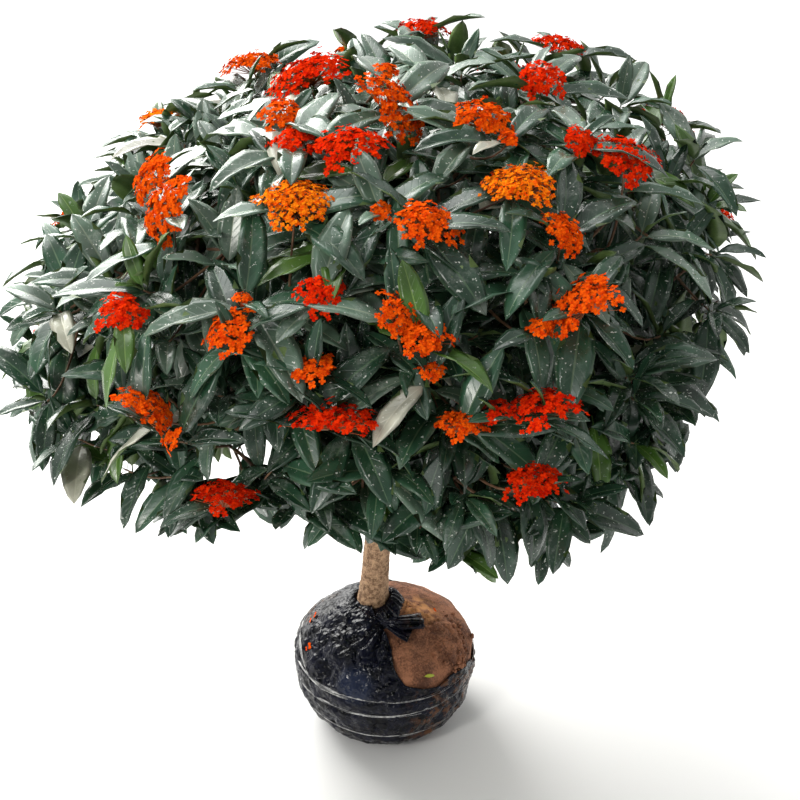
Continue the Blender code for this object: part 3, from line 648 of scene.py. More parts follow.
twig_starts, twig_leans = np.empty_like(SPOTS), np.empty_like(SPOTS)
twig_starts[order] = np.array([arc[0] for arc in twig_arcs])
twig_leans[order] = np.array([arc[1] for arc in twig_arcs])
twig_lengths = np.linalg.norm(twig_leans - twig_starts, axis=1) + np.linalg.norm(SPOTS - twig_leans, axis=1)
print("twigs", len(SPOTS), "longest", twig_lengths.max().round(3))

# %% Twig piece
twig_paths = [bent(start, lean, spot, steps) for start, lean, spot in zip(twig_starts, twig_leans, SPOTS)]
WOOD = (
    (stem_paths, 0.0042, 0.0034, 8),
    (shoot_paths, 0.0030, 0.0020, 7),
    (twig_paths, 0.0021, 0.0013, 6),
)
parts = []
for paths, thick, thin, sides in WOOD:
    radii = np.tile(np.linspace(thick, thin, TWIG_STEPS), (len(paths), 1))
    parts.append(tubes(np.stack(paths), radii, sides))
foliage_nodes = [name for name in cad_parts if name.startswith("foliage")]
add_piece("twigs", *joined(parts), [twig_finish], "bark", foliage_nodes)

# %% [markdown]
# ## Leaves
# An osmanthus leaf is a long pointed ellipse on a short stalk. Its two halves fold up a little from a pale midrib,
# its length arches over and its edges wave. It could be a flat card with a leaf drawn on it, but a card takes the
# light all in one tone. So one leaf is a grid of a few dozen faces, closed by a thin underside in a paler finish. All
# leaves are worked out at once from arrays of roots, directions, lengths and bends. They stand in crossed pairs,
# close together at a shoot's end and further apart below it.

# %% One leaf's grid
# Across its top a leaf has an edge, a shoulder, the two sides of its midrib, a shoulder and an edge. Its underside has
# only the edges and the middle.
ROWS = np.array([0.0, 0.10, 0.19, 0.31, 0.46, 0.62, 0.77, 0.90, 1.0])
COLUMNS = np.array([-1.0, -0.58, -0.055, 0.055, 0.58, 1.0])
LEAF_THICKNESS = 0.0011
blade_share = np.clip((ROWS - 0.10) / 0.90, 0, 1)
HALF_WIDTH = blade_share**0.62 * (1 - blade_share) ** 0.76
HALF_WIDTH = np.maximum(HALF_WIDTH / HALF_WIDTH.max(), [0.05, 0.045, *[0.0] * 6, 0.02])
n_rows, n_columns = len(ROWS), len(COLUMNS)
top_faces = grid_faces(n_rows, n_columns)[:, ::-1]
top_slots = np.tile([0, 0, 1, 0, 0], n_rows - 1)
row_starts = np.arange(n_rows) * n_columns
under_index = np.stack([row_starts, n_rows * n_columns + np.arange(n_rows), row_starts + n_columns - 1], -1)
under_index[[0, -1], 1] = under_index[[0, -1], 0] + 2
under_faces = under_index.ravel()[grid_faces(n_rows, 3)]
LEAF_POINTS = n_rows * n_columns + n_rows
print("faces of one leaf", len(top_faces) + len(under_faces))


# %% All leaves' points and their piece
def leaf_points(roots, axes, ups, lengths, widths, bends, folds, waves):
    """All leaves' points. Down its length a leaf turns from its axis towards the ground by its bend, so its middle
    line is the running sum of its turned direction; across, the halves rise by the fold and bulge, and edges wave."""
    side = unit(np.cross(ups, axes))
    up = np.cross(axes, side)
    turn = -bends[:, None] * ROWS**1.25
    step = np.diff(ROWS, prepend=0)
    ahead = np.cumsum(np.cos(turn) * step, 1) * lengths[:, None]
    rise = np.cumsum(np.sin(turn) * step, 1) * lengths[:, None]
    half = (HALF_WIDTH * widths[:, None] / 2)[..., None]
    edge = np.abs(COLUMNS)
    ripple = np.sin(ROWS[:, None] * 13 + COLUMNS * 2 + waves[:, None, None]) * edge * 0.13
    lift = half * (edge * np.sin(folds)[:, None, None] + 0.45 * edge * (1 - edge) + ripple)
    across = half * COLUMNS * np.cos(folds)[:, None, None]
    square = np.stack([-np.sin(turn), np.cos(turn)], -1)
    forward = ahead[..., None] + lift * square[..., :1]
    upward = rise[..., None] + lift * square[..., 1:]
    top = (
        roots[:, None, None]
        + axes[:, None, None] * forward[..., None]
        + side[:, None, None] * across[..., None]
        + up[:, None, None] * upward[..., None]
    )
    below = axes[:, None] * square[..., :1] + up[:, None] * square[..., 1:]
    under = (top[:, :, 2] + top[:, :, 3]) / 2 - below * LEAF_THICKNESS
    return np.concatenate([top.reshape(len(roots), -1, 3), under], 1)


blade_uv = np.stack(np.meshgrid(ROWS, (COLUMNS + 1) / 2, indexing="ij"), -1).reshape(-1, 2)
blade_uv = np.concatenate([blade_uv, np.stack([ROWS, 0 * ROWS + 0.5], -1)])


def add_leaves(name, points, finishes):
    """Adds leaves as one piece. Its finishes are for the blade, the midrib and the underside."""
    faces = [copies(part, len(points), LEAF_POINTS) for part in (top_faces, under_faces)]
    slots = np.concatenate([np.tile(top_slots, len(points)), np.full(len(faces[1]), 2)])
    add_piece(name, points, faces, finishes, "foliage", uv=np.tile(blade_uv, (len(points), 1)), slots=slots)


# %% Where leaves stand on a shoot
# Each column is one leaf: how far it stands below the tip, how far it opens from the shoot in degrees, and its size
# as a share of a full leaf. PAIR_TURN is how far round the shoot it stands, and PRESENT how often it is there.
BELOW_TIP = np.array([0.000, 0.001, 0.005, 0.006, 0.014, 0.016, 0.034, 0.038, 0.066, 0.070])
OPENING = np.array([30, 38, 55, 62, 72, 80, 78, 86, 82, 88.0])
SIZE = np.array([0.62, 0.72, 0.92, 0.98, 1.0, 1.02, 1.0, 0.98, 0.92, 0.92])
PAIR_TURN = np.array([0, 180, 90, 270, 40, 220, 130, 310, 20, 200.0])
PRESENT = np.array([1, 1, 1, 1, 1, 0.95, 0.8, 0.7, 0.5, 0.45])
LEAF_LENGTH, LEAF_SLENDERNESS = 0.128, 0.335

count, per_shoot = len(SPOTS), len(BELOW_TIP)
shape = (count, per_shoot)
shares = 1 - BELOW_TIP / twig_lengths[:, None]
starts, leans, ends = twig_starts[:, None], twig_leans[:, None], SPOTS[:, None]
roots = bent(starts, leans, ends, shares)
along = unit((leans - starts) * (1 - shares)[..., None] + (ends - leans) * shares[..., None])
along = unit(along + tip_way(ends))
side = unit(np.cross(along, UP))
turn = np.radians(PAIR_TURN + rng.uniform(0, 360, (count, 1)) + rng.normal(0, 14, shape))[..., None]
around = side * np.cos(turn) + np.cross(along, side) * np.sin(turn)
opening = np.radians(OPENING + rng.normal(0, 8, shape))[..., None]
axes = unit(along * np.cos(opening) + around * np.sin(opening))
ups = unit(along * 0.45 + UP * 0.95 + rng.normal(0, 0.22, (*shape, 3)))
lengths = LEAF_LENGTH * SIZE * rng.uniform(0.82, 1.16, shape)
level = np.sqrt(np.maximum(0, 1 - axes[..., 2] ** 2))
bends = rng.uniform(0.30, 1.05, shape) * (0.35 + 0.65 * level)
folds = rng.uniform(0.10, 0.55, shape)
waves = rng.uniform(0, math.tau, shape)
present = rng.uniform(0, 1, shape) < PRESENT
print("shoots", count, "places for leaves", present.size)

# %% Leaves that are shortened or left out
# No leaf leaves the crown, touches the trunk or closes one of the gaps that the sky shows through.
SKY_GAPS = ((232, 462, 46, 20), (574, 384, 34, 14), (205, 462, 16, 18), (262, 520, 20, 16))  # pixels: middle, halves
FULL_REACH, SHORTENINGS = 0.99, 3  # a leaf whose tip is past this share of the crown's reach is shortened
LOWEST_TIP, TRUNK_SHOWS_TO, TRUNK_CLEARANCE = 0.47, 0.58, 0.05
up_axis = unit(np.cross(axes, np.cross(ups, axes)))
to_tips = axes * np.cos(bends * 0.55)[..., None] - up_axis * np.sin(bends * 0.55)[..., None]
for _ in range(SHORTENINGS):
    tips = roots + to_tips * lengths[..., None]
    over = np.linalg.norm(tips - HEART, axis=-1) / reach(unit(tips - HEART))
    lengths = np.where(over > FULL_REACH, lengths * 0.9, lengths)
middles = (roots + tips) / 2
across, down, _ = seen_at(middles)
for x, y, half_x, half_y in SKY_GAPS:
    present &= ((across - x) / half_x) ** 2 + ((down - y) / half_y) ** 2 > 1
trunk_gap = np.hypot(tips[..., 0] - FOOT_X / 2, tips[..., 1])
present &= (trunk_gap > TRUNK_CLEARANCE) | (tips[..., 2] > TRUNK_SHOWS_TO)
present &= (over < FULL_REACH + 0.02) & (tips[..., 2] > LOWEST_TIP)
print("leaves", int(present.sum()), "of", present.size)

# %% [markdown]
# ### Leaf finishes
# Full-grown leaves are deep blue-green and waxy, so their tops shine. Sprays high up and on the left get lighter
# tints and low ones the deepest tint, which is painted light and shade; the palest is a grey-green of painted sky
# sheen with dust on it. Some sprays are a fresher green, and a few are pale. The midrib is wide enough to be a strip
# of faces with a paler finish. The side veins and the margin are finer than a leaf's faces, so one node group draws
# them on each leaf's own UV map, and the specks of dust on Object coordinates. Each tint is a plain colour of its own
# material.

# %% Leaf group
# The midrib's tint on side veins and margin, dust, and a height that is cushioned between the veins
leafage, l_in, l_out = new_group(
    "leaf_face",
    [("Blade", "Color"), ("Rib", "Color"), ("Dust", "Color"), ("Dust Amount", "Float")],
    [("Color", "Color"), ("Roughness", "Float"), ("Normal", "Vector")],
)
blade_map = add_node(leafage, "ShaderNodeUVMap", uv_map="blade").outputs[0]
split = add_node(leafage, "ShaderNodeSeparateXYZ", [(0, blade_map)])
aside = maths(leafage, "ABSOLUTE", maths(leafage, "SUBTRACT", split.outputs[1], 0.5))
slant = maths(leafage, "MULTIPLY_ADD", aside, -0.42, split.outputs[0])
vein = ramp(leafage, maths(leafage, "SINE", maths(leafage, "MULTIPLY", slant, 62.0)), 0.80, 1.0)
tone = ramp(leafage, noise(leafage, 14, 2.0), 0.3, 0.7)
shade = mix_colours(leafage, tone, (0.55, 0.55, 0.55, 1), (1.35, 1.35, 1.35, 1))
coloured = mix_colours(leafage, 1.0, l_in.outputs["Blade"], shade, "MULTIPLY")
vein_share = maths(leafage, "MULTIPLY", vein, 0.06)
margin_share = maths(leafage, "MULTIPLY", ramp(leafage, aside, 0.42, 0.50), 0.55)
for share in (vein_share, margin_share):
    coloured = mix_colours(leafage, share, coloured, l_in.outputs["Rib"])
specks = ramp(leafage, noise(leafage, 230, 2.0, 0.5), 0.66, 0.71)
bloom = maths(leafage, "MULTIPLY", ramp(leafage, noise(leafage, 30, 5.0, 0.7), 0.50, 0.75), 0.18)
dust_and_sheen = maths(leafage, "MULTIPLY", maths(leafage, "MAXIMUM", specks, bloom), l_in.outputs["Dust Amount"])
leafage.links.new(mix_colours(leafage, dust_and_sheen, coloured, l_in.outputs["Dust"]), l_out.inputs["Color"])
leafage.links.new(maths(leafage, "MULTIPLY_ADD", dust_and_sheen, 0.35, 0.25), l_out.inputs["Roughness"])
cushion = maths(leafage, "MULTIPLY_ADD", vein, -0.6, 1.0)
leaf_bump = add_node(leafage, "ShaderNodeBump", [("Height", cushion), ("Strength", 0.25), ("Distance", 0.0012)])
leafage.links.new(leaf_bump.outputs[0], l_out.inputs["Normal"])


def leaf_material(name, blade, rib, dust, amount):
    """A waxy leaf finish from the leaf group."""
    material = new_material(name, blade, 0.35, Specular_IOR_Level=0.6)
    tree = material.node_tree
    group = add_group(tree, leafage, Blade=(*blade, 1), Rib=(*rib, 1), Dust=(*dust, 1), Dust_Amount=amount)
    shader = tree.nodes["Principled BSDF"]
    for output, socket in (("Color", "Base Color"), ("Roughness", "Roughness"), ("Normal", "Normal")):
        tree.links.new(group.outputs[output], shader.inputs[socket])
    return material


# Blade, rib and dust colours of each tint, and how much dust. The palest grey-green tint stands for painted sky sheen
# on the upper leaves, with dust specks over it; the deep tint is partly painted shade on the lower leaves.
LEAF_TINTS = {
    "deep": ((0.012, 0.042, 0.022), (0.060, 0.115, 0.062), (0.72, 0.75, 0.70), 0.75),
    "mid": ((0.028, 0.080, 0.044), (0.105, 0.175, 0.100), (0.72, 0.75, 0.70), 0.7),
    "dust_and_sheen": ((0.095, 0.155, 0.110), (0.22, 0.28, 0.20), (0.78, 0.79, 0.74), 0.9),
    "fresh": ((0.060, 0.135, 0.022), (0.15, 0.25, 0.06), (0.6, 0.65, 0.6), 0.25),
    "pale": ((0.46, 0.46, 0.37), (0.56, 0.55, 0.44), (0.80, 0.79, 0.72), 0.5),
}
under_finish = mottled_material("leaf_underside", (0.050, 0.095, 0.018), (0.105, 0.165, 0.045), 30, 500, 0.5, 0.2)

# %% Leaves dealt out by spray
# Painted light and shade: sprays that stand higher and further left get lighter tints, up to the pale grey-green of
# painted sky sheen, and lower ones the deep tint. Fresh and pale tints are dealt out at random.
outward = unit(SPOTS - HEART)
painted_light_level = 0.50 * outward[:, 2] - 0.25 * outward[:, 0] + rng.normal(0, 0.16, count)
painted_light_level = painted_light_level[:, None] + rng.normal(0, 0.24, shape)
leaf_tint = np.full(shape, "deep", object)
leaf_tint[painted_light_level > 0.08] = "mid"
leaf_tint[painted_light_level > 0.50] = "dust_and_sheen"
leaf_tint[rng.uniform(0, 1, shape) > 0.985] = "pale"
fresh_spray = rng.uniform(0, 1, count) < 0.10
leaf_tint[fresh_spray[:, None] & (rng.uniform(0, 1, shape) < 0.6)] = "fresh"
for tint, (blade, rib, dust, amount) in LEAF_TINTS.items():
    finish = leaf_material(f"leaf_{tint}", blade, rib, dust, amount)
    rib_finish = leaf_material(f"rib_{tint}", rib, rib, dust, amount * 0.5)
    chosen = present & (leaf_tint == tint)
    widths = lengths[chosen] * LEAF_SLENDERNESS * rng.uniform(0.88, 1.12, chosen.sum())
    grown = [values[chosen] for values in (roots, axes, ups, lengths)]
    points = leaf_points(*grown, widths, bends[chosen], folds[chosen], waves[chosen])
    add_leaves(f"leaves_{tint}", points, [finish, rib_finish, under_finish])

# %% [markdown]
# ## Blossom
# The blossom stands in flat-topped heads at the ends of shoots: dozens of flowers a centimetre wide, each with four
# blunt petals, on thread-like stalks from one point. A head could be one rough lump in a flowery colour, but its edge
# would give it away. A petal is a small grid that curls back, so even thousands of them stay light. The flowers of a
# head are spread over a shallow dome by the golden angle, which covers it without rows.

# %% One flower
petal_rows = np.array([0.05, 0.55, 1.0])
petal_half = np.array([0.17, 0.42, 0.34])
r, c = np.meshgrid(np.arange(3), np.array([-1.0, 0.0, 1.0]), indexing="ij")
petal_x = petal_rows[r] - 0.10 * np.abs(c) * (r == 2)
petal_z = 0.24 * np.sin(petal_rows[r] * 2.4) - 0.10 * np.abs(c)
petal = np.stack([petal_x, c * petal_half[r], petal_z], -1).reshape(-1, 3)
quarter_turn = np.array([[0, 1, 0], [-1, 0, 0], [0, 0, 1.0]])
flower = np.concatenate([petal @ np.linalg.matrix_power(quarter_turn, k) for k in range(4)]) / 2
flower_faces = copies(grid_faces(3, 3), 4, 9)
FLOWER_WIDTHS = {"red": 0.0094, "orange": 0.0100, "amber": 0.0068}
FLOWER_LAYERS = 2.9  # how many times a head's flowers would cover its disc
print("faces of one flower", len(flower_faces))


def flowers_at(places, facing, side, widths):
    """Points and faces of flowers of given widths at places, each with its middle line along its facing."""
    basis = np.stack([side, np.cross(facing, side), facing], 1)
    points = places[:, None] + np.einsum("pk,nkj->npj", flower, basis) * widths[:, None, None]
    return points, [copies(flower_faces, len(points), len(flower))]


# %% Heads of blossom
def head_flowers(spot, way, length, flower_width):
    """Places and facings of a head's flowers, spread over a shallow dome until they cover it."""
    number = int(FLOWER_LAYERS * math.pi / 4 * (length / flower_width) ** 2)
    k = np.arange(number) + 0.5
    out = np.sqrt(k / number) * length / 2 * rng.uniform(0.88, 1.08, number)
    turn = GOLDEN_ANGLE * k + rng.normal(0, 0.15, number)
    out = out * (1 - 0.16 * np.cos(turn * 3 + rng.uniform(0, 6)) - 0.08 * np.cos(turn * 5 + rng.uniform(0, 6)))
    side = unit(np.cross(way, UP) + 1e-6)
    other = np.cross(way, side)
    dome = length * 0.16 * (1 - (2 * out / length) ** 2) + rng.normal(0, length * 0.035, number)
    flat = side * (out * np.cos(turn))[:, None] + other * (out * np.sin(turn))[:, None]
    places = spot + flat + way * (dome + 0.008)[:, None]
    facing = unit(way * 0.9 + flat / length * 1.3 + rng.normal(0, 0.25, (number, 3)))
    return places, facing


heads = {"red": [], "orange": [], "amber": []}
stalks = []
for spot, way, length, tint in zip(head_spots, head_ways, head_lengths, head_tints):
    places, facing = head_flowers(spot, way, length, FLOWER_WIDTHS[tint])
    heads[tint].append((places, facing))
    stalks.append(np.stack([np.broadcast_to(spot - way * 0.006, places.shape), places], 1)[::2])
print("flowers", sum(len(p) for group in heads.values() for p, _ in group))


# %% Flower pieces
PETAL_TINTS = {
    "red": ((0.50, 0.006, 0.002), (0.86, 0.040, 0.003)),
    "orange": ((0.56, 0.028, 0.002), (0.90, 0.125, 0.005)),
    "amber": ((0.76, 0.055, 0.003), (0.97, 0.300, 0.008)),
}
petal_finishes = {}
for tint, (dark, light) in PETAL_TINTS.items():
    finish = mottled_material(f"petal_{tint}", dark, light, 120, 500, 0.9, 0.15, Specular_IOR_Level=0.0)
    places, facing = [np.concatenate(column) for column in zip(*heads[tint])]
    side = unit(np.cross(facing, unit(rng.normal(size=facing.shape))))
    widths = rng.uniform(0.8, 1.2, len(places)) * FLOWER_WIDTHS[tint]
    add_piece(f"blossom_{tint}", *flowers_at(places, facing, side, widths), [finish], "foliage")
    petal_finishes[tint] = finish
stalk_finish = new_material("flower_stalk", (0.42, 0.10, 0.02), 0.6)
paths = np.concatenate(stalks)
points, faces = tubes(paths, np.full(paths.shape[:2], 0.00035), 3)
add_piece("blossom_stalks", points, faces, [stalk_finish], "foliage")

# %% [markdown]
# ## Root ball
# The roots sit in a round lump of reddish soil in a sack of thin black film. The film is gathered round the trunk's
# foot and twisted into a knot in front, and it lies open on one side, where bare soil shows. The ball could be
# sculpted, but its film, soil, bands and clods all have to follow one form. So both skins are grids by azimuth and
# latitude over the same rounded shape, pushed in and out by fields that are worked out at every point.

# %% Ball shape
BALL_WIDTH, BALL_MIDDLE, BALL_TOP, BALL_UNDER = 0.32, 0.147, 0.247, 0.154
BALL_LUMPS = ((3, 0.007, 4.5), (5, 0.003, 1.1))
TOP_SLOPE = (0.117, -0.078)
BALL_HEART = np.array([0, 0, BALL_MIDDLE])


def ball_skin(azimuths, latitudes, out):
    """Points of the ball's skin: cosine and sine of the latitude are raised to a power that squares the shape, lumps
    widen it by azimuth, the top slopes, and the point moves out from the ball's heart. Angles are in radians."""
    power = np.where(latitudes > 0, 2 / 1.6, 2 / 3.0)
    lump = 1 + sum(share * np.cos(waves * azimuths + phase) for waves, share, phase in BALL_LUMPS)
    radius = BALL_WIDTH / 2 * lump * np.maximum(0, np.cos(latitudes)) ** power
    rise = np.where(latitudes > 0, BALL_TOP - BALL_MIDDLE, BALL_UNDER)
    above = np.maximum(0, np.sin(latitudes))
    x, y = radius * np.cos(azimuths) + FOOT_X * above**2, radius * np.sin(azimuths)
    z = BALL_MIDDLE + np.sign(latitudes) * rise * np.abs(np.sin(latitudes)) ** power
    z = z + above * (TOP_SLOPE[0] * (x - FOOT_X) + TOP_SLOPE[1] * y)
    points = np.stack([x, y, np.maximum(z, 0)], -1)
    points = points + unit(points - BALL_HEART) * np.asarray(out)[..., None]
    points[..., 2] = np.maximum(points[..., 2], 0.0004)
    return points


def ball_latitudes(azimuths, heights):
    """The latitudes at which the skin reaches heights above the floor: looked up among many above the ball's middle,
    and below it worked back from the formula, which has no slope there."""
    choices = np.radians(np.linspace(0, 80, 801))
    reached = ball_skin(azimuths[..., None], choices, 0 * choices)[..., 2]
    above = choices[np.abs(reached - heights[..., None]).argmin(-1)]
    below = -np.arcsin(np.clip((BALL_MIDDLE - heights) / BALL_UNDER, 0, 1) ** 1.5)
    return np.where(heights > BALL_MIDDLE, above, below)


def top_height(x, y):
    """The skin's height over places on its top: the latitude is guessed, and corrected a few times by the radius."""
    above = 0.98
    for _ in range(12):
        cosine = np.clip(np.hypot(x - FOOT_X * above**2, y) / (BALL_WIDTH / 2), 0, 1) ** 0.8
        above = np.sqrt(1 - cosine**2)
    slope = TOP_SLOPE[0] * (x - FOOT_X) + TOP_SLOPE[1] * y
    return BALL_MIDDLE + (BALL_TOP - BALL_MIDDLE) * above**1.25 + above * slope


print("ball's top at the trunk's foot", top_height(FOOT_X, 0.0).round(4))


# %% Fields that crumple and swell a skin
def facets(places, seed):
    """Crumpled noise from 0 to 1: random heights on a cubic lattice with a pitch of one, joined by flat pieces. The
    order of a place's fractions picks one of six tetrahedra in its cube, so the pieces meet in sharp creases."""
    table = np.random.default_rng(seed).random(4096)
    corner = np.floor(places).astype(int)
    part = places - corner
    order = np.argsort(-part, axis=-1)
    sizes = np.take_along_axis(part, order, -1)
    steps = np.concatenate([1 - sizes[..., :1], sizes[..., :2] - sizes[..., 1:], sizes[..., 2:]], -1)
    total = 0
    for i in range(4):
        total = total + steps[..., i] * table[(corner @ (73, 157, 1031)) % 4096]
        if i < 3:
            corner = corner + (np.arange(3) == order[..., i : i + 1])
    return total


LATTICE_TURN = np.linalg.qr(np.random.default_rng(5).normal(size=(3, 3)))[0]


def crumple(points, pitch, seed):
    """Facets of about one pitch on a turned and slightly bent lattice, folded once more at their middle height."""
    bends = np.stack([ripples(points, pitch * 1.6, seed + k) for k in range(3)], -1)
    return 1 - np.abs(2 * facets((points + 0.18 * pitch * bends) @ LATTICE_TURN / pitch, seed) - 1)


def hump(values, middle, width):
    """A smooth bump: e to the minus square of the distance from its middle in widths."""
    return np.exp(-(((values - middle) / width) ** 2))


def near(points, spot, width):
    """A smooth bump round a spot."""
    return hump(np.linalg.norm(points - np.array(spot), axis=-1), 0, width)


# %% [markdown]
# ### Black film
# Crumpled film lies in flat facets that meet in creases. A cloth simulation could crumple it, but that is slow and
# its folds fall where they like. So the film's height is a sum of faceted fields of four sizes. Long folds run out
# from the knot and from the trunk's foot, and the bands pull the film flat along three lines. Its open edge is a
# table of latitudes by azimuth, and the grid's upper rows run up to it.

# %% Bands, crumples and folds
BAND_LOOPS = {
    "binding_band_high": (0.136, 0.010, 250.0),
    "binding_band_middle": (0.097, 0.018, 275.0),
    "binding_band_low": (0.055, 0.008, 225.0),
}  # middle height and tilt in metres, and the azimuth of the high side in degrees
KNOT = np.array([0.000, -0.069, 0.240])
FOOT = np.array([FOOT_X, 0.0, 0.247])
CRUMPLES = ((0.0072, 0.056, 11), (0.0056, 0.028, 12), (0.0042, 0.016, 13), (0.0018, 0.0082, 17))  # height, pitch, seed
FANS = (  # centre, folds by angle, pitch outwards, how fast they fade, height and seed
    (KNOT, 5.0, 0.130, 0.075, 0.0190, 14),
    (KNOT, 11.0, 0.090, 0.060, 0.0090, 15),
    (FOOT, 7.0, 0.040, 0.030, 0.0050, 16),
)
FOLDS = (  # far end, width and height
    ((-0.123, -0.076, 0.178), 0.010, 0.0085),
    ((-0.110, -0.040, 0.205), 0.009, 0.0050),
    ((-0.060, -0.130, 0.185), 0.008, 0.0050),
    ((-0.002, -0.130, 0.200), 0.007, 0.0055),
)
FILM_MIDDLE, FILM_RELIEF = 0.0024, 0.0064
print("bands", list(BAND_LOOPS), "fans", len(FANS), "folds", len(FOLDS))


# %% The film's height
def fan(points, centre, number, pitch, seed):
    """Folds that run out from a centre: facets by the angle round it and by the distance, long along the distance."""
    away = points - centre
    far = np.linalg.norm(away, axis=-1)
    outward = unit(centre - BALL_HEART)
    right = unit(np.cross(UP, outward))
    angle = np.arctan2(away @ np.cross(outward, right), away @ right) + 0.12 * ripples(points, 0.04, seed)
    return 1 - np.abs(2 * facets(np.stack([angle * number, far / pitch, 0 * far + 0.5], -1), seed) - 1), far


def film_height(points, azimuths):
    """How far the film stands out: crumples, folds that fan out from the knot and the trunk's foot, a few long folds,
    a hollow and a bulge under them, and little of it where a band pulls the film in, all held within its relief."""
    height = sum(tall * crumple(points, pitch, seed) for tall, pitch, seed in CRUMPLES) - 0.0092
    height = height * (1 - 0.75 * near(points, KNOT, 0.080))
    for centre, number, pitch, fading, tall, seed in FANS:
        pleat, far = fan(points, centre, number, pitch, seed)
        height = height + tall * (pleat - 0.4) * np.exp(-far / fading) * np.minimum(1, far / 0.015)
    for end, width, tall in FOLDS:
        line = np.array(end) - KNOT
        along = np.clip(((points - KNOT) @ line) / (line @ line), 0, 1)
        bow = 0.006 * np.sin(along * math.pi * 1.5)[..., None] * np.array([0.3, 0.3, 1.0])
        off = np.linalg.norm(points - KNOT - along[..., None] * line - bow, axis=-1)
        height = height + tall * np.maximum(0, 1 - off / width) * np.minimum(1, 4 * along + 0.2) * (1 - 0.4 * along)
    height = height - 0.0070 * near(points, (-0.095, -0.108, 0.178), 0.024)
    height = height + 0.0030 * near(points, (-0.050, -0.142, 0.166), 0.024)
    for level, tilt, high_side in BAND_LOOPS.values():
        band = hump(points[..., 2], level + tilt * np.cos(azimuths - math.radians(high_side)), 0.0045)
        height = height * (1 - 0.7 * band) - 0.001 * band
    return FILM_MIDDLE + FILM_RELIEF * np.tanh((height - FILM_RELIEF / 2) / FILM_RELIEF)


# %% The film's open edge
# Azimuth and the latitude that it reaches there, both in degrees
FILM_EDGE = (
    (0, -3), (20, -4), (45, -1), (62, 5), (75, 16), (88, 36), (98, 62), (106, 81), (262, 81), (268, 74),
    (272, 60), (275, 45), (278, 32), (284, 17), (296, 8), (305, 7), (316, 9), (330, 6), (344, 0), (360, -3),
)


def edge_latitude(azimuths):
    """The latitude of the film's open edge, in degrees."""
    return np.interp(np.degrees(azimuths), *np.array(FILM_EDGE).T)


def edge_lean(azimuths, latitudes):
    """How far the open edge leans round under the knot, in radians."""
    return math.radians(8) * hump(latitudes, math.radians(52), math.radians(16)) * hump(np.degrees(azimuths), 274, 14)


def row_latitudes(steps):
    """Latitudes for even steps up the skin: below the ball's middle evenly in height, above it evenly in angle."""
    return np.where(steps < 0, -np.arcsin(np.abs(steps) ** 1.5), steps * math.pi / 2)


# %% The film's sheet
FILM_COLUMNS, FILM_ROWS, LOW_ROWS = 420, 210, 80
LOWEST_STEP, SPLIT_STEP = -0.97, -0.25  # the rows below the split are the same all round
near_edge = np.arange(262, 300, 0.24)  # more columns where the edge is steep, in degrees
azimuth_line = np.concatenate([np.linspace(0, 360, FILM_COLUMNS - len(near_edge), False), near_edge])
azimuth_line = np.radians(np.sort(azimuth_line))
edge_line = edge_latitude(azimuth_line) + 0.9 * np.sin(azimuth_line * 9) + 0.6 * np.sin(azimuth_line * 16 + 1)
edge_line = np.minimum(edge_line, 82)
edge_steps = np.where(edge_line < 0, -(np.sin(np.radians(np.abs(edge_line))) ** (2 / 3)), edge_line / 90)
low_steps = np.linspace(LOWEST_STEP, SPLIT_STEP, LOW_ROWS)[:, None] + 0 * edge_steps
rising = np.linspace(0, 1, FILM_ROWS - LOW_ROWS + 1)[1:, None]
latitudes = row_latitudes(np.concatenate([low_steps, SPLIT_STEP + (edge_steps - SPLIT_STEP) * rising]))
latitudes = np.concatenate([latitudes, latitudes[-1] - np.radians([[1.0], [3.5]])])  # two rows are tucked under
azimuths = azimuth_line + edge_lean(azimuth_line, latitudes)
out = film_height(ball_skin(azimuths, latitudes, 0 * latitudes), azimuths)
hem = hump(latitudes, np.radians(edge_line - 1.0), math.radians(1.2))
out = out + 0.0022 * hem * (1 - out / 0.0095)
out[FILM_ROWS:] = [[-0.0012], [-0.0022]]
points = ball_skin(azimuths, latitudes, out).reshape(-1, 3)
faces = [grid_faces(*latitudes.shape, closed=True), cap_faces(FILM_COLUMNS, 0, len(points), False)]
film_points = np.concatenate([points, [[0, 0, 0.0004]]])
print("film stands out", out.min().round(4), "to", out.max().round(4))


# %% The film's finish
def spot_share(tree, spot, last, first):
    """A shader value that is 1 within a distance of a spot and falls to 0 at a larger one."""
    gap = add_node(tree, "ShaderNodeVectorMath", [(0, object_place(tree)), (1, spot)], operation="DISTANCE")
    return ramp(tree, gap.outputs["Value"], last, first)


film_finish = mottled_material("black_film", (0.0010, 0.0013, 0.0026), (0.008, 0.009, 0.019), 30, 130, 0.16, 0.0,
                               Specular_IOR_Level=0.36, IOR=1.33)
film_tree = film_finish.node_tree
film_place = object_place(film_tree)
film_axes = add_node(film_tree, "ShaderNodeSeparateXYZ", [(0, film_place)])
# Painted bluish sheen: the bulge low in front is tinted blue, where the glossy film would mirror the sky.
bulge = spot_share(film_tree, (-0.050, -0.145, 0.168), 0.042, 0.018)
left_rim = spot_share(film_tree, (-0.124, 0.040, 0.187), 0.060, 0.020)
right_side = ramp(film_tree, film_axes.outputs[0], 0.025, 0.085)
low_down = ramp(film_tree, film_axes.outputs[2], 0.13, 0.06)
dust = ramp(film_tree, noise(film_tree, 45, 6.0, 0.75), 0.47, 0.70)
soil_shows = ramp(film_tree, noise(film_tree, 36, 5.0, 0.7), 0.48, 0.60)
tint_base(
    film_finish,
    ((0.017, 0.025, 0.056), bulge, 0.75),
    ((0.024, 0.020, 0.014), low_down, dust, 0.75),
    ((0.105, 0.045, 0.022), right_side, soil_shows),
    ((0.085, 0.045, 0.028), left_rim, soil_shows),
)
bends = add_node(film_tree, "ShaderNodeTexNoise", [("Vector", film_place), ("Scale", 30.0)]).outputs["Color"]
